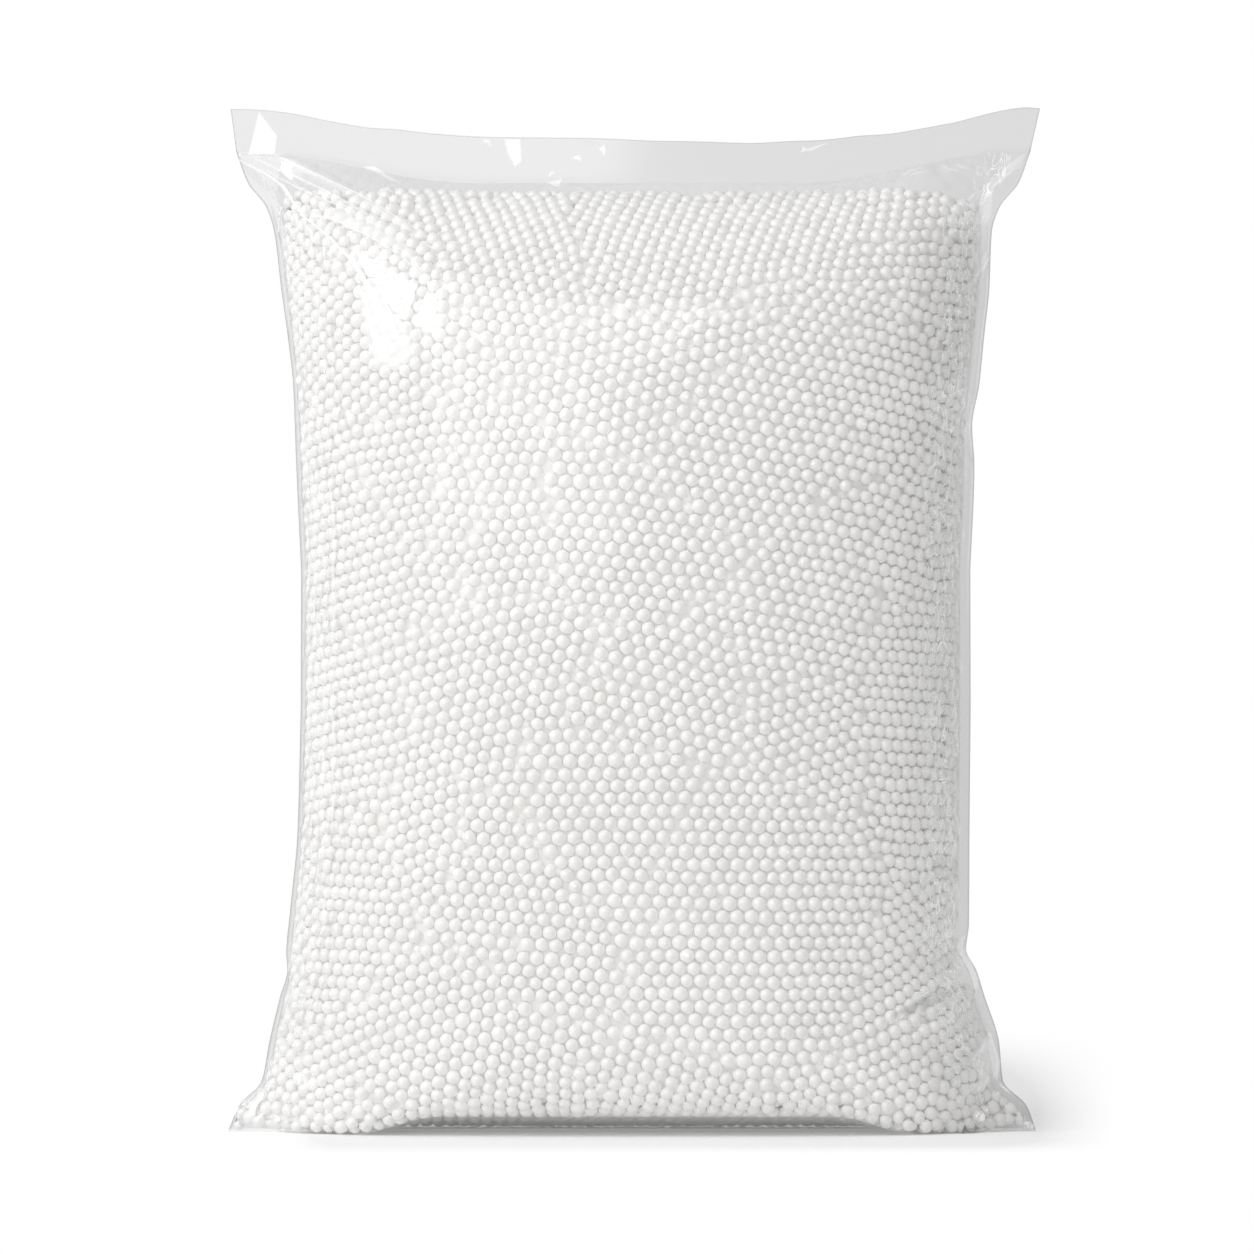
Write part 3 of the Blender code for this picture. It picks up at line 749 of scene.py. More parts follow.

# Creases of the front ply in millimetres, each with its height and the widths of its upper and its lower
# flank, and the strength of the painted highlight along it
CREASES = (
    (((-129.3, 348.4), (-119.9, 343.6), (-108.9, 337.4), (-97.1, 331.2), (-86.7, 324.1), (-76.3, 316.7)),
     1.0, 0.6, 4.5, 0.85),
    (((-138.5, 348.0), (-131.9, 345.0), (-124.6, 341.6), (-109.5, 333.3), (-95.6, 324.3), (-82.0, 313.9)),
     0.5, 0.5, 1.6, 0.55),
    (((-133.9, 343.9), (-119.6, 335.2), (-104.7, 327.4), (-92.2, 319.4), (-84.2, 314.5)),
     0.5, 0.6, 0.6, 0.45),
    (((-141.9, 346.5), (-131.6, 340.9), (-126.0, 337.1), (-122.8, 332.3), (-117.9, 324.9),
      (-108.9, 317.0), (-100.9, 308.5), (-96.2, 301.1), (-90.2, 288.2), (-85.5, 279.0)),
     1.2, 1.0, 1.0, 0.95),
    (((-117.9, 324.9), (-111.5, 323.9), (-105.9, 322.2), (-91.8, 314.2), (-81.7, 307.4), (-74.0, 298.6)),
     0.8, 4.0, 0.8, 0.7),
    (((140.9, 346.5), (134.8, 342.4), (127.7, 336.6), (127.2, 331.9), (127.9, 327.1)), 0.5, 0.5, 0.6, 0.35),
    (((126.9, 312.0), (124.6, 307.4), (121.0, 303.3), (117.4, 299.8), (118.6, 296.8), (121.0, 295.4)),
     0.7, 0.6, 0.6, 0.6),
    (((119.0, 262.0), (116.8, 258.1), (114.0, 252.1), (112.5, 249.1), (115.3, 244.5), (118.1, 238.2)),
     0.7, 0.8, 0.6, 0.6),
    (((117.7, 65.5), (114.1, 57.9), (110.0, 52.5), (105.5, 51.9), (96.5, 47.3), (88.5, 41.9)),
     1.4, 0.7, 2.0, 1.0),
    (((87.8, 40.9), (93.9, 41.8), (103.1, 43.7), (110.6, 46.9), (113.8, 51.0)), 0.9, 0.6, 0.8, 0.8),
    (((117.3, 62.8), (121.2, 54.2), (120.9, 50.7), (115.4, 52.3)), 0.9, 0.6, 1.0, 0.9),
    (((120.9, 50.7), (116.2, 44.0), (113.6, 36.5)), 0.6, 0.6, 0.6, 0.7),
    (((118.6, 27.1), (123.8, 33.1), (125.8, 33.7), (129.0, 24.5), (128.2, 18.1)), 0.9, 0.6, 0.6, 0.9),
    (((118.6, 27.1), (121.6, 25.2), (124.0, 24.7), (128.2, 18.1)), 0.6, 0.6, 0.6, 0.8),
    (((128.9, 17.1), (130.7, 15.3), (133.5, 13.2)), 0.6, 0.6, 0.6, 0.8),
    (((-122.2, 64.2), (-122.9, 57.1), (-119.9, 48.5), (-117.4, 43.4), (-111.3, 33.8)), 0.7, 0.8, 0.8, 0.6),
    (((-129.5, 25.2), (-130.1, 16.5), (-128.4, 8.0)), 0.6, 0.6, 0.6, 0.6),
    (((88.3, 339.6), (89.0, 340.9), (89.4, 342.8)), 0.2, 0.6, 0.6, 0.5),
    (((95.1, 339.8), (98.1, 341.9), (103.5, 344.1)), 0.2, 0.5, 0.9, 0.5),
    (((97.1, 339.8), (101.6, 341.2), (105.6, 342.5)), 0.2, 0.5, 0.9, 0.4),
    (((109.6, 344.3), (111.5, 342.5), (115.5, 341.7)), 0.2, 0.9, 0.5, 0.5),
    (((114.5, 344.8), (116.3, 343.5), (119.9, 342.6)), 0.2, 0.9, 0.5, 0.5),
    (((-25.1, 338.4), (-17.9, 334.2), (-11.1, 329.2)), 0.2, 0.4, 1.2, 0.3),
    (((-10.0, 336.3), (-5.5, 336.6), (-2.0, 337.5)), 0.2, 0.5, 1.2, 0.35),
)

# How far a crease's foot runs out past its flank, how round its ridge is, how its ends taper, the half
# width of its fine painted highlight line and how full that line is, and the painted highlight on a broad
# flank
CREASE_FOOT, CREASE_POWER = 1.0, 1.3
TAPER_ENDS, TAPER_LEAN, TAPER_FULLNESS = (0.02, 0.98), 0.7, 0.5
LINE_HALF_WIDTH = 0.45
CREASE_LINE, WAVY_LINE = 1.4, 1.3
FLANK_HIGHLIGHT = 0.5

# Where the film is crumpled along a side fold: the side, how far in the wavy lines run in millimetres,
# how far they stray, how long their waves are, their height, the strength of their painted highlight,
# and how much darker they make the film
WAVY_LINES = (
    (1, (4.5, 6.5, 8.5, 10.5, 12.5, 15.0, 18.0), 2.4, 7.0, 0.35, 0.60, 0.0),
    (1, (5.5, 8.0, 11.0, 14.0), 2.0, 9.0, 0.2, 0.0, 0.35),
    (-1, (2.0, 4.0, 6.0, 8.5, 11.0, 14.0, 17.0), 1.6, 12.0, 0.3, 0.0, 0.45),
    (-1, (3.0, 5.5, 9.0, 12.5), 1.6, 14.0, 0.3, 0.45, 0.0),
)

# How the wavy lines stray and fade: a second, shorter wave, how often they show, and between what
# heights, each with the length over which they fade
WAVY_SEEDS = (17.3, 5.1)
SECOND_WAVE = (0.5, 2.3)
WAVY_SHOWN = (2.5, 1.6, 0.6)
WAVY_BOTTOM, WAVY_TOP = (30, 20), (335, 10)

# Small facets of the film, with a painted highlight where they would catch the lamp, and how strong each is
PAINTED_GLINTS = (
    (((-134.8, 363.8), (-128.3, 355.1), (-129.2, 348.6), (-138.6, 348.3), (-137.0, 354.8)), 0.75),
    (((-46.8, 353.1), (-41.3, 353.3), (-40.6, 345.3), (-43.0, 343.4), (-45.4, 347.7)), 0.85),
    (((-54.3, 353.3), (-52.0, 353.1), (-51.4, 350.0), (-52.6, 351.8), (-54.3, 352.2)), 0.6),
    (((-31.3, 339.6), (-30.4, 341.3), (-28.3, 341.9), (-29.8, 340.6)), 0.8),
    (((-31.9, 337.6), (-26.2, 339.1), (-27.4, 336.0), (-28.9, 335.8)), 0.7),
    (((-23.0, 346.5), (-20.3, 347.8), (-19.0, 345.2), (-20.9, 346.1)), 0.9),
    (((-13.5, 349.4), (-11.2, 351.5), (-10.6, 348.5), (-11.3, 347.2), (-12.3, 349.4)), 0.8),
    (((59.4, 348.6), (59.8, 351.0), (61.3, 350.0), (70.1, 352.7), (63.1, 349.3), (60.9, 349.1)), 0.7),
    (((-97.7, 343.8), (-93.4, 343.9), (-82.6, 337.0), (-88.2, 338.7), (-93.4, 342.1)), 0.7),
    (((-126.2, 317.7), (-123.1, 314.0), (-125.4, 309.3)), 0.3),
    (((113.3, 249.9), (115.3, 255.1), (119.6, 251.0), (116.1, 247.4)), 0.3),
    (((-122.1, 54.3), (-124.5, 45.8), (-118.2, 43.3)), 0.5),
    (((-120.9, 17.4), (-117.9, 22.7), (-111.9, 17.4)), 0.6),
    (((117.3, 62.8), (121.2, 54.2), (120.9, 50.7), (115.4, 52.3), (110.8, 52.5), (114.1, 57.2)), 0.6),
    (((118.6, 27.1), (123.8, 33.1), (125.8, 33.7), (129.0, 24.5), (128.2, 18.1), (124.0, 24.7),
      (120.1, 25.6)), 0.6),
)
FACET_EDGE, FIN_FACET_EDGE = 0.6, 0.4

# The hollow under the fold at the lower right, and the painted shade over it: how dark the film is there
SHADED_HOLLOWS = (
    (((110.0, 52.5), (105.5, 52.6), (92.2, 44.6), (87.8, 40.9), (93.9, 41.8), (103.1, 43.7),
      (110.6, 46.9), (113.8, 51.0)), 0.85),
)

# Broader painted highlights beside the creases, where the film bends into the lamp's light, with soft edges
GLARES = (
    (((-98.8, 331.6), (-91.2, 328.2), (-83.1, 322.4), (-73.6, 314.3), (-77.5, 314.4), (-84.7, 318.9),
      (-96.9, 327.9)), 0.45),
    (((-110.6, 326.8), (-103.0, 327.7), (-90.1, 321.0), (-81.3, 313.7), (-71.9, 300.4), (-68.9, 295.9),
      (-73.9, 298.2), (-81.9, 307.3), (-91.7, 314.1), (-105.9, 322.3)), 0.42),
    (((-98.8, 297.8), (-91.0, 298.4), (-84.9, 289.3), (-78.1, 280.2), (-76.0, 272.2), (-81.9, 266.5),
      (-92.2, 268.7), (-94.5, 278.1)), 0.6),
)
GLARE_EDGE, GLARE_SPREAD = 5.0, 0.4

# Where the film is finely crumpled, in millimetres: how far in from the left and the right fold, how far
# below the top weld, and how strong the painted highlight lines of the crumpling are in each of the three
# places. They fade towards the floor and towards the middle of the bag.
FINE_CRUMPLE_HIGHLIGHTS = ((3.0, 15.0, 0.35), (5.0, 22.0, 1.0), (0.0, 12.0, 0.22))
CRUMPLE_EDGE = 3
CRUMPLE_BOTTOM, CRUMPLE_MIDDLE = (4, 20), (50, 40)
CRUMPLE_FADED = 0.45


def press_on_beads(grid, normals):
    """Return how far the film moves from its smooth form to lie on the beads."""
    tree = KDTree(bead_count)
    for number, place in enumerate(bead_places):
        tree.insert(place, number)
    tree.balance()
    flat, out = grid.reshape(-1, 3), normals.reshape(-1, 3)
    near = np.array([[hit[1] for hit in tree.find_n(point, NEAR_BEADS)] for point in flat])
    offset = bead_places[near] - flat[:, None, :]
    along = (offset * out[:, None, :]).sum(axis=-1)
    aside = np.maximum((offset ** 2).sum(axis=-1) - along ** 2, 0)
    radii = bead_radii[near] + FILM_GAUGE
    dome = np.where(aside < radii ** 2, along + np.sqrt(np.maximum(radii ** 2 - aside, 0)), -1.0)
    dome = np.clip(dome.max(axis=1).reshape(grid.shape[:2]), -FILM_SLACK, MOST_LIFT)
    lift = dome
    for _ in range(FILM_RELAXING):
        smooth = lift.copy()
        smooth[1:-1, 1:-1] = (lift[:-2, 1:-1] + lift[2:, 1:-1] + lift[1:-1, :-2] + lift[1:-1, 2:]) / 4
        lift = np.maximum(smooth, dome)
    return lift


def depth_inside(grid, outline):
    """Return how deep each point of a grid lies inside an outline, in millimetres, less than 0 outside."""
    across, up = grid[..., 0] * 1000, grid[..., 2] * 1000
    nearest = np.full(across.shape, 1e9)
    inside = np.zeros(across.shape, dtype=bool)
    for (x0, z0), (x1, z1) in zip(outline, outline[1:] + outline[:1]):
        share = ((across - x0) * (x1 - x0) + (up - z0) * (z1 - z0)) / ((x1 - x0) ** 2 + (z1 - z0) ** 2)
        share = np.clip(share, 0, 1)
        away = np.hypot(across - x0 - share * (x1 - x0), up - z0 - share * (z1 - z0))
        nearest = np.minimum(nearest, away)
        crosses = (z0 > up) != (z1 > up)
        inside ^= crosses & (across < x0 + (up - z0) * (x1 - x0) / (z1 - z0 if z1 != z0 else 1e-9))
    return np.where(inside, nearest, -nearest)


def patch(grid, outline, edge, spread=0.5):
    """Return 1 inside an outline and 0 outside it, with an edge of this width in millimetres."""
    return ease((depth_inside(grid, outline) + spread * edge) / edge)


def lay_patches(values, grid, patches, edge, spread=0.5):
    """Return the values at the points of a grid, raised to those of the patches that they lie in."""
    for outline, value in patches:
        values = np.maximum(values, value * patch(grid, outline, edge, spread))
    return values


def near_line(grid, line):
    """Return each point's distance from a line in millimetres, its side of the line, and how far along."""
    place, line = grid[..., (0, 2)] * 1000, np.array(line)
    lengths = np.linalg.norm(np.diff(line, axis=0), axis=1)
    run = np.concatenate(([0], np.cumsum(lengths)))
    nearest = np.full(grid.shape[:2], 1e9)
    signed, along = np.zeros_like(nearest), np.zeros_like(nearest)
    for start, end, length, before in zip(line, line[1:], lengths, run):
        way = (end - start) / length
        offset = place - start
        reach = np.clip(offset @ way, 0, length)
        away = np.linalg.norm(offset - reach[..., None] * way, axis=-1)
        closer = away < nearest
        nearest = np.where(closer, away, nearest)
        signed = np.where(closer, way[0] * offset[..., 1] - way[1] * offset[..., 0], signed)
        along = np.where(closer, (before + reach) / run[-1], along)
    return nearest, signed, along


def fine_line(away, fullness):
    """Return 1 on a fine line and 0 away from it, for distances from it in millimetres."""
    return np.clip(fullness - away / LINE_HALF_WIDTH, 0, 1)


def crease_film(grid, creases):
    """Return how far the creases stand off the film at the points of a grid, and the painted highlight
    along them.
    """
    lift, haze_and_highlight = np.zeros(grid.shape[:2]), np.zeros(grid.shape[:2])
    for line, height, upper, lower, highlight_strength in creases:
        nearest, signed, along = near_line(grid, line)
        taper = np.sin(math.pi * np.clip(along, *TAPER_ENDS) ** TAPER_LEAN) ** TAPER_FULLNESS
        flank = np.where(signed > 0, upper, lower)
        ridge = np.clip(1 - nearest / (flank + CREASE_FOOT), 0, 1)
        lift = np.maximum(lift, height / 1000 * ridge ** CREASE_POWER * taper)
        line_highlight = fine_line(nearest, CREASE_LINE) * highlight_strength
        flank_highlight = FLANK_HIGHLIGHT * highlight_strength * np.clip(1 - nearest / flank, 0, 1) * (flank > 1)
        haze_and_highlight = np.maximum(haze_and_highlight, np.maximum(line_highlight, flank_highlight) * taper)
    return lift, haze_and_highlight


def fine_crumple_highlight(grid):
    """Return the strength of the painted highlight lines on the fine crumpling at the points of the front
    ply.
    """
    x, z = grid[..., 0] * 1000, grid[..., 2] * 1000
    white = np.zeros_like(x)
    rises = (x - x.min(axis=1, keepdims=True), x.max(axis=1, keepdims=True) - x, z[-1:] - z)
    for (start, end, highlight_strength), inward in zip(FINE_CRUMPLE_HIGHLIGHTS, rises):
        inside = ease((inward - start) / CRUMPLE_EDGE) if start else 1.0
        white = np.maximum(white, highlight_strength * inside * ease((end - inward) / (end - start) * 2))
    sides = ease((np.abs(x) - CRUMPLE_MIDDLE[0]) / CRUMPLE_MIDDLE[1])
    low = ease((z - CRUMPLE_BOTTOM[0]) / CRUMPLE_BOTTOM[1])
    return white * low * (CRUMPLE_FADED + (1 - CRUMPLE_FADED) * sides)


def crumple_film(grid, haze_and_highlight, lift, thickness_and_shade):
    """Add the thin wavy lines along both side folds: their lift, their painted highlight and how much
    darker they make the film.
    """
    second, shorter = SECOND_WAVE
    steep, longer, often = WAVY_SHOWN
    for number, (side, places, stray, wave, height, highlight_strength, darkening) in enumerate(WAVY_LINES):
        edge = (side * grid[..., 0]).max(axis=1) * 1000
        inward = edge[:, None] - side * grid[..., 0] * 1000
        edge_heights = grid[:, 0 if side < 0 else -1, 2] * 1000
        for line, place in enumerate(places):
            seed = WAVY_SEEDS[0] * number + WAVY_SEEDS[1] * line
            way = np.array([place + stray * (noise.noise((up / wave, seed, 0.0))
                                             + second * noise.noise((up / wave * shorter, seed, 4.0)))
                            for up in edge_heights])
            shown = np.array([ease(steep * noise.noise((up / wave / longer, seed, 9.0)) + often)
                              for up in edge_heights])
            shown *= ease((edge_heights - WAVY_BOTTOM[0]) / WAVY_BOTTOM[1])
            shown *= ease((WAVY_TOP[0] - edge_heights) / WAVY_TOP[1])
            profile = fine_line(np.abs(inward - way[:, None]), WAVY_LINE) * shown[:, None]
            haze_and_highlight = np.maximum(haze_and_highlight, profile * highlight_strength)
            thickness_and_shade = np.maximum(thickness_and_shade, profile * darkening)
            lift = lift + profile * height / 1000
    return haze_and_highlight, lift, thickness_and_shade


# The film itself: how much light passes where it is clearest and where darkest, edge on or in painted
# shade, its cloudiness and the colour of that and of its painted highlights, its shine from the front and
# at a glance, and the size and width of the painted highlight lines on its finest crumpling
FILM_PASSES = (0.872, 0.60)
FILM_HAZE = 0.04
HAZE_AND_HIGHLIGHT_COLOUR = (0.9, 0.9, 0.9)
FILM_ROUGHNESS = 0.10
FILM_SHINE, FILM_STEEPNESS = (0.07, 0.9), 4.0
CURL_SCALE = (230.0, 230.0, 150.0)
CURL_WIDTH = 0.045


def film_material(name):
    """Clear polyethylene film: it lets most light through, and shines on both faces. Where marked it turns
    a diffuse white for its cloudiness and for painted highlights, and lets less light through where it is
    seen edge on and where shade is painted on it.
    """
    material = bpy.data.materials.new(name)
    material.use_nodes = True
    nodes, links = material.node_tree.nodes, material.node_tree.links
    nodes.remove(nodes["Principled BSDF"])
    output = nodes["Material Output"]
    clear = nodes.new("ShaderNodeBsdfTransparent")
    thickness_and_shade = nodes.new("ShaderNodeAttribute")
    thickness_and_shade.attribute_name = "thickness_and_shade"
    tint = nodes.new("ShaderNodeMapRange")
    tint.inputs["To Min"].default_value, tint.inputs["To Max"].default_value = FILM_PASSES
    gloss = nodes.new("ShaderNodeBsdfGlossy")
    gloss.inputs["Roughness"].default_value = FILM_ROUGHNESS
    gloss.inputs["Color"].default_value = (1, 1, 1, 1)
    cloud_and_highlight = nodes.new("ShaderNodeBsdfDiffuse")
    cloud_and_highlight.inputs["Color"].default_value = (*HAZE_AND_HIGHLIGHT_COLOUR, 1)
    facing = nodes.new("ShaderNodeLayerWeight")
    facing.inputs["Blend"].default_value = 0.5
    steep = nodes.new("ShaderNodeMath")
    steep.operation = "POWER"
    steep.inputs[1].default_value = FILM_STEEPNESS
    shine = nodes.new("ShaderNodeMapRange")
    shine.inputs["To Min"].default_value, shine.inputs["To Max"].default_value = FILM_SHINE
    body = nodes.new("ShaderNodeMixShader")
    surface = nodes.new("ShaderNodeMixShader")
    # Diffuse white for the film's cloudiness, and painted highlights on its creases, facets, glares and
    # wavy lines
    haze_and_highlight = nodes.new("ShaderNodeAttribute")
    haze_and_highlight.attribute_name = "haze_and_highlight"
    # Painted highlight lines on the fine crumpling, drawn by a noise texture where the attribute marks it
    crumple_highlight = nodes.new("ShaderNodeAttribute")
    crumple_highlight.attribute_name = "crumple_highlight"
    place = nodes.new("ShaderNodeNewGeometry")
    scale = nodes.new("ShaderNodeVectorMath")
    scale.operation = "MULTIPLY"
    scale.inputs[1].default_value = CURL_SCALE
    curls = nodes.new("ShaderNodeTexNoise")
    curls.inputs["Scale"].default_value = 1.0
    curls.inputs["Detail"].default_value = 1.0
    curls.inputs["Distortion"].default_value = 1.0
    middle = combine(nodes, links, "SUBTRACT", curls.outputs["Fac"], 0.5)
    line = nodes.new("ShaderNodeMapRange")
    line.inputs["From Max"].default_value = CURL_WIDTH
    line.inputs["To Min"].default_value = 1.0
    line.inputs["To Max"].default_value = 0.0
    links.new(place.outputs["Position"], scale.inputs[0])
    links.new(scale.outputs["Vector"], curls.inputs["Vector"])
    links.new(combine(nodes, links, "ABSOLUTE", middle, 0.0), line.inputs["Value"])
    crumple_highlight_lines = combine(nodes, links, "MULTIPLY", line.outputs["Result"], crumple_highlight.outputs["Fac"])
    white = combine(nodes, links, "MAXIMUM", crumple_highlight_lines, haze_and_highlight.outputs["Fac"])
    links.new(thickness_and_shade.outputs["Fac"], tint.inputs["Value"])
    links.new(tint.outputs["Result"], clear.inputs["Color"])
    links.new(facing.outputs["Facing"], steep.inputs[0])
    links.new(steep.outputs["Value"], shine.inputs["Value"])
    links.new(white, body.inputs["Fac"])
    links.new(clear.outputs["BSDF"], body.inputs[1])
    links.new(cloud_and_highlight.outputs["BSDF"], body.inputs[2])
    links.new(shine.outputs["Result"], surface.inputs["Fac"])
    links.new(body.outputs["Shader"], surface.inputs[1])
    links.new(gloss.outputs["BSDF"], surface.inputs[2])
    links.new(surface.outputs["Shader"], output.inputs["Surface"])
    return material


clear_film = film_material("clear_polyethylene")


def make_film(name, grid, ply, haze_and_highlight, thickness_and_shade, crumple_highlight=0.0, cut=None):
    """Make one part of a ply from its grid of points, less the faces between points that are cut."""
    rows, columns = grid.shape[:2]
    grid[..., 2] = np.maximum(grid[..., 2], 0.0)
    corner = (np.arange(rows - 1)[:, None] * columns + np.arange(columns - 1)[None, :]).ravel()
    faces = np.stack((corner, corner + 1, corner + columns + 1, corner + columns), axis=1)
    if ply == BACK:
        faces = faces[:, ::-1]
    if cut is not None:
        faces = faces[~cut.ravel()[faces].all(axis=1)]
    piece = mesh_from_arrays(name, grid.reshape(-1, 3), faces)
    add_point_values(piece, "haze_and_highlight", haze_and_highlight.ravel())
    add_point_values(piece, "thickness_and_shade", thickness_and_shade.ravel())
    add_point_values(piece, "crumple_highlight", np.broadcast_to(crumple_highlight, haze_and_highlight.shape).ravel())
    piece.data.materials.append(clear_film)
    piece.visible_shadow = piece.visible_diffuse = False
    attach(piece, "root")
    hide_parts("film_bag")


# Painted shade on the film, as how much darker it looks, from 0 to 1: evenly to the right, on the wall at
# the right, low down there, in the empty strip along the right fold and above the wall, with each place in
# millimetres and the length over which it fades
RIGHT_TINT = 0.10
WALL_TINT, LOW_TINT, STRIP_TINT = 0.62, 0.50, 0.30
HORN_SHARE = 0.2
TINT_LOW, TINT_WALL, TINT_SIDE, TINT_STRIP = (60, 40), (330, 20), (88, 30), (9, 3)
FOLD_SHARE = 0.004
# The fin is a little darker towards both ends, as painted shade
FIN_TINT = (0.03, 0.10)


def right_side_shade(grid):
    """Return the painted shade on the film: darker to the right, and less dark in the empty strip by the
    right fold.
    """
    x, z = grid[..., 0] * 1000, grid[..., 2] * 1000
    inward = x.max(axis=1, keepdims=True) - x
    full = LOW_TINT + (WALL_TINT - LOW_TINT) * ease((z - TINT_LOW[0]) / TINT_LOW[1])
    wall = HORN_SHARE + (1 - HORN_SHARE) * ease((TINT_WALL[0] - z) / TINT_WALL[1])
    side = ease((x - TINT_SIDE[0]) / TINT_SIDE[1])
    strip = ease((TINT_STRIP[0] - inward) / TINT_STRIP[1])
    return (RIGHT_TINT * np.clip(x / (FLAT_HALF_WIDTH * 1000), 0, 1)
            + wall * (full * side - (full - STRIP_TINT) * strip))


def shape_film(grid, ply):
    """Lay the smooth film on the beads, with its creases. Return it with its cloudiness and painted
    highlights, and how much darker it looks, edge on at the folds and in painted shade.
    """
    normals = grid_normals(grid, ply)
    lift = press_on_beads(grid, normals)
    haze_and_highlight = np.full(grid.shape[:2], FILM_HAZE)
    if ply == FRONT:
        for outline in FREE_FILM:
            lift += (FREE_LIFT - lift) * patch(grid, outline, FREE_EDGE)
        # The creases' lift, and the painted highlight along them
        raised, white = crease_film(grid, CREASES)
        lift = np.maximum(lift, raised + np.minimum(lift, 0) * (raised <= 0))
        haze_and_highlight = lay_patches(np.maximum(haze_and_highlight, white), grid, PAINTED_GLINTS, FACET_EDGE)
        haze_and_highlight = lay_patches(haze_and_highlight, grid, GLARES, GLARE_EDGE, GLARE_SPREAD)
    from_fold = 1 - np.abs(np.linspace(-1, 1, grid.shape[1]))
    side = ease(from_fold / SIDE_SHARE)[None, :]
    thickness_and_shade = np.broadcast_to(np.clip(1 - from_fold / FOLD_SHARE, 0, 1), haze_and_highlight.shape)
    # Painted shade to the right, over the darker edge where the film is seen edge on at the folds
    thickness_and_shade = np.maximum(thickness_and_shade, right_side_shade(grid))
    if ply == FRONT:
        # Painted shade over the hollow under the fold
        thickness_and_shade = lay_patches(thickness_and_shade, grid, SHADED_HOLLOWS, FACET_EDGE)
        haze_and_highlight, lift, thickness_and_shade = crumple_film(grid, haze_and_highlight, lift, thickness_and_shade)
    return grid + normals * (lift * side)[..., None], haze_and_highlight, thickness_and_shade


def make_front():
    """Make the front ply: the skirt, the foot and the wall, then the shoulder, then the fin."""
    low = body_grid(FRONT, FRONT_COLUMNS, FRONT_ROWS, 0, TOP_START)
    high = body_grid(FRONT, FRONT_COLUMNS, TOP_ROWS, TOP_START, EDGE_SEAL_HEIGHT)
    whole = np.concatenate((low, high[1:]))
    crumple_highlight = fine_crumple_highlight(whole)
    both, haze_and_highlight, thickness_and_shade = shape_film(whole, FRONT)
    weld = ease(np.arange(len(both))[::-1] / WELD_ROWS)[:, None, None]
    both = whole * (1 - weld) + both * weld
    both[:2] = low[:2]
    skirt = skirt_grid(FRONT_COLUMNS, SKIRT_ROWS)
    plain = np.full(skirt.shape[:2], FILM_HAZE)
    make_film("film_front", np.concatenate((skirt, both[:FRONT_ROWS])), FRONT,
              np.concatenate((plain, haze_and_highlight[:FRONT_ROWS])),
              np.concatenate((0 * plain, thickness_and_shade[:FRONT_ROWS])),
              np.concatenate((0 * plain, crumple_highlight[:FRONT_ROWS])))
    top = slice(FRONT_ROWS - 1, None)
    make_film("film_top", both[top], FRONT, haze_and_highlight[top], thickness_and_shade[top], crumple_highlight[top])
    fin = fin_grid(FRONT, FIN_COLUMNS, FIN_ROWS)
    # Painted glints on the fin
    haze_and_highlight = lay_patches(np.full(fin.shape[:2], FILM_HAZE), fin, PAINTED_GLINTS, FIN_FACET_EDGE)
    # Painted shade on the fin, darker towards both ends; its top and side edges darkest
    thickness_and_shade = FIN_TINT[0] + FIN_TINT[1] * np.abs(fin[..., 0]) / FLAT_HALF_WIDTH
    thickness_and_shade[-1:] = thickness_and_shade[:, :2] = thickness_and_shade[:, -2:] = 1
    make_film("film_fin", fin, FRONT, haze_and_highlight, thickness_and_shade)


def make_back():
    """Make the back ply, plain from the bottom weld to the top of the fin, with its vent."""
    smooth = body_grid(BACK, BACK_COLUMNS, BACK_ROWS, 0, EDGE_SEAL_HEIGHT)
    body, haze_and_highlight, thickness_and_shade = shape_film(smooth, BACK)
    from_vent = body[..., (0, 2)] - VENT_PLACE
    distance = np.linalg.norm(from_vent, axis=-1)
    cut = distance < VENT_REACH
    body[..., 0][cut] = (VENT_PLACE[0] + from_vent[..., 0] / distance * VENT_RADIUS)[cut]
    body[..., 2][cut] = (VENT_PLACE[1] + from_vent[..., 1] / distance * VENT_RADIUS)[cut]
    fin = fin_grid(BACK, BACK_COLUMNS, BACK_FIN_ROWS)[1:]
    plain = np.full(fin.shape[:2], FILM_HAZE)
    make_film("film_back", np.concatenate((body, fin)), BACK, np.concatenate((haze_and_highlight, plain)),
              np.concatenate((thickness_and_shade, 0 * plain)), cut=np.concatenate((cut, plain < 0)))


make_front()
make_back()

# The studio: a white floor that runs out of sight, a soft key lamp from the upper left, a broad lamp in
# front, and a pale surround that is brightest in front on the left.
FLOOR_HALF_SIZE = 6.0
FLOOR_SHADE, FLOOR_BOUNCE = 0.62, 0.9
FLOOR_GLOW = 0.26
PAPER_ROUGHNESS = 0.9

# Where the floor keeps the bag's shadow, and is white elsewhere: a fan laid out on the floor from the
# photo's camera place, between these bearings, and from behind to in front
SHADOW_RIGHT, SHADOW_MOST, SHADOW_FALL = (0.0712, 0.0862), 1.5, 1.6
SHADOW_LEFT = (-0.062, -0.052)
SHADOW_BEHIND = (0.315, 0.457)
SHADOW_FRONT = (-0.15, -0.05)

# The camera at the photo's height and distance, and the lamps with their powers in watts
CAMERA_PLACE = (-0.0030, -2.0, 0.10)
CAMERA_TILT = math.radians(90 + 2.26)
CAMERA_LENS = 161.5
KEY_PLACE = (-1.25, -0.80, 0.98)
KEY_SIZE = 0.7
KEY_POWER = 7.0
FRONT_PLACE = (-0.75, -1.45, 1.15)
FRONT_SIZE = 2.0
FRONT_POWER = 12.2
LAMP_TARGET = (0, 0, 0.18)
SURROUND_LEFT, SURROUND_RIGHT = 0.73, 0.54
SURROUND_WAY = (-0.75, -0.45, 0.48)
LIGHT_BOUNCES = 10


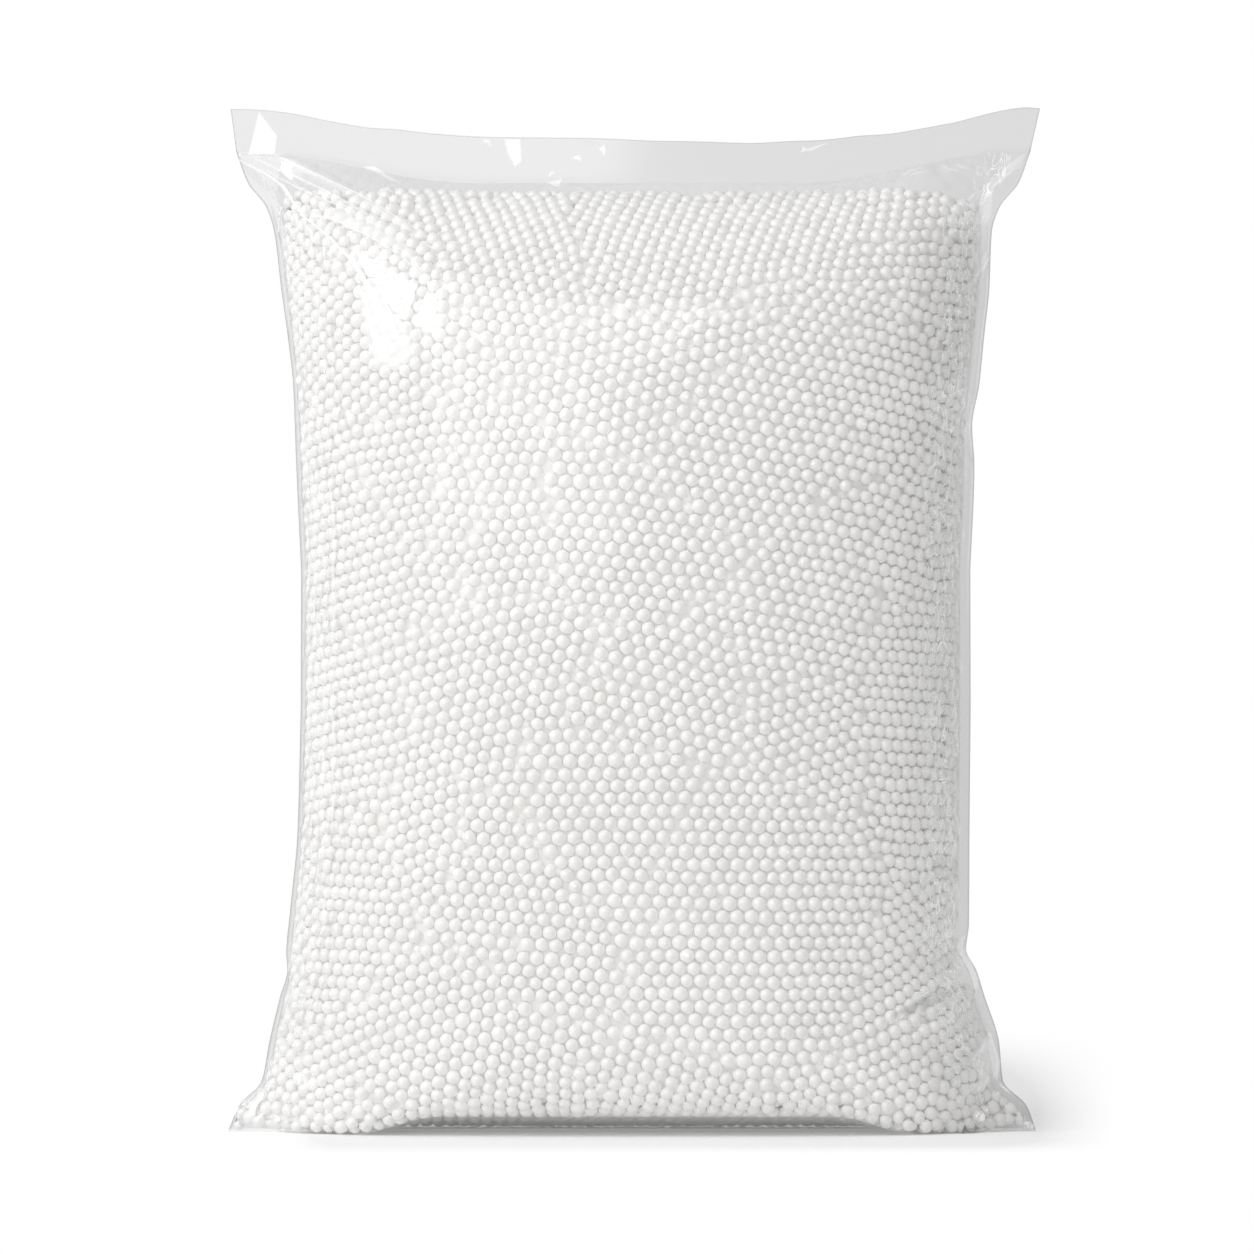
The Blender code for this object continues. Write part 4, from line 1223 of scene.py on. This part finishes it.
def seen_rays(nodes, links):
    """Return 1 for the rays of the camera and of what shines or shows through, and 0 for the light."""
    rays = nodes.new("ShaderNodeLightPath")
    seen = combine(nodes, links, "MAXIMUM", rays.outputs["Is Camera Ray"],
                   rays.outputs["Is Glossy Ray"])
    return combine(nodes, links, "MAXIMUM", seen, rays.outputs["Is Transmission Ray"])


def smooth_range(nodes, links, value, start, end):
    """Return a smooth step of an output, from 0 at the start to 1 at the end."""
    node = nodes.new("ShaderNodeMapRange")
    node.interpolation_type = "SMOOTHSTEP"
    node.inputs["From Min"].default_value = start
    node.inputs["From Max"].default_value = end
    links.new(value, node.inputs["Value"])
    return node.outputs["Result"]


def make_floor():
    """Make the white floor, which keeps the bag's shadow and is pure white to the camera elsewhere."""
    size = FLOOR_HALF_SIZE
    floor = mesh_from_arrays("studio_floor", ((-size, -size, 0), (size, -size, 0), (size, size, 0),
                                              (-size, size, 0)), ((0, 1, 2, 3),))
    material = bpy.data.materials.new("white_paper")
    material.use_nodes = True
    nodes, links = material.node_tree.nodes, material.node_tree.links
    shader = nodes["Principled BSDF"]
    shader.inputs["Roughness"].default_value = PAPER_ROUGHNESS
    shader.inputs["Emission Color"].default_value = (1, 1, 1, 1)
    place = nodes.new("ShaderNodeNewGeometry")
    parts = nodes.new("ShaderNodeSeparateXYZ")
    seen = seen_rays(nodes, links)
    paper = nodes.new("ShaderNodeMapRange")
    paper.inputs["To Min"].default_value = FLOOR_BOUNCE
    paper.inputs["To Max"].default_value = FLOOR_SHADE
    white = nodes.new("ShaderNodeEmission")
    both = nodes.new("ShaderNodeMixShader")
    links.new(place.outputs["Position"], parts.inputs[0])
    links.new(combine(nodes, links, "MULTIPLY", seen, FLOOR_GLOW), shader.inputs["Emission Strength"])
    links.new(seen, paper.inputs["Value"])
    links.new(paper.outputs["Result"], shader.inputs["Base Color"])
    away = combine(nodes, links, "SUBTRACT", parts.outputs["Y"], CAMERA_PLACE[1])
    shrink = combine(nodes, links, "DIVIDE", 1.0, away)
    across = combine(nodes, links, "MULTIPLY", parts.outputs["X"], shrink)
    right = combine(nodes, links, "SUBTRACT", SHADOW_RIGHT[1], across)
    right = combine(nodes, links, "DIVIDE", right, SHADOW_RIGHT[1] - SHADOW_RIGHT[0])
    right = combine(nodes, links, "MAXIMUM", right, 0.0)
    right = combine(nodes, links, "MINIMUM", right, SHADOW_MOST)
    kept = combine(nodes, links, "POWER", right, SHADOW_FALL)
    for value, bounds in ((shrink, SHADOW_BEHIND), (parts.outputs["Y"], SHADOW_FRONT),
                          (across, SHADOW_LEFT)):
        kept = combine(nodes, links, "MULTIPLY", kept, smooth_range(nodes, links, value, *bounds))
    kept = combine(nodes, links, "MINIMUM", kept, 1.0)
    lost = combine(nodes, links, "MULTIPLY", combine(nodes, links, "SUBTRACT", 1.0, kept), seen)
    links.new(lost, both.inputs["Fac"])
    links.new(shader.outputs["BSDF"], both.inputs[1])
    links.new(white.outputs["Emission"], both.inputs[2])
    links.new(both.outputs["Shader"], nodes["Material Output"].inputs["Surface"])
    floor.data.materials.append(material)


def make_surround():
    """Light the bag from all round, most from the left in front, with a white backdrop for the camera."""
    world = bpy.data.worlds.new("white_surround")
    bpy.context.scene.world = world
    world.use_nodes = True
    nodes, links = world.node_tree.nodes, world.node_tree.links
    way = nodes.new("ShaderNodeTexCoord")
    lean = nodes.new("ShaderNodeVectorMath")
    lean.operation = "DOT_PRODUCT"
    lean.inputs[1].default_value = Vector(SURROUND_WAY).normalized()
    light = nodes.new("ShaderNodeMapRange")
    light.inputs["From Min"].default_value = -1.0
    light.inputs["From Max"].default_value = 1.0
    light.inputs["To Min"].default_value = SURROUND_RIGHT
    light.inputs["To Max"].default_value = SURROUND_LEFT
    rays = nodes.new("ShaderNodeLightPath")
    white = combine(nodes, links, "MAXIMUM", rays.outputs["Is Camera Ray"],
                    rays.outputs["Is Transmission Ray"])
    strength = combine(nodes, links, "MAXIMUM", light.outputs["Result"], white)
    links.new(way.outputs["Generated"], lean.inputs[0])
    links.new(lean.outputs["Value"], light.inputs["Value"])
    background = nodes["Background"]
    background.inputs["Color"].default_value = (1, 1, 1, 1)
    links.new(strength, background.inputs["Strength"])


def make_lamp(name, place, size, power):
    """Make one soft square lamp that points at the middle of the bag."""
    light = bpy.data.lights.new(name, "AREA")
    light.shape = "SQUARE"
    light.size = size
    light.energy = power
    lamp = bpy.data.objects.new(name, light)
    bpy.context.scene.collection.objects.link(lamp)
    lamp.location = place
    lamp.rotation_euler = (Vector(LAMP_TARGET) - Vector(place)).to_track_quat("-Z", "Y").to_euler()


make_floor()
make_surround()
make_lamp("key_lamp", KEY_PLACE, KEY_SIZE, KEY_POWER)
make_lamp("front_lamp", FRONT_PLACE, FRONT_SIZE, FRONT_POWER)

camera = bpy.data.objects.new("camera", bpy.data.cameras.new("camera"))
bpy.context.scene.collection.objects.link(camera)
camera.data.lens = CAMERA_LENS
camera.location = CAMERA_PLACE
camera.rotation_euler = (CAMERA_TILT, 0, 0)
bpy.context.scene.camera = camera
bpy.context.scene.view_settings.view_transform = "Standard"
bpy.context.scene.cycles.diffuse_bounces = LIGHT_BOUNCES
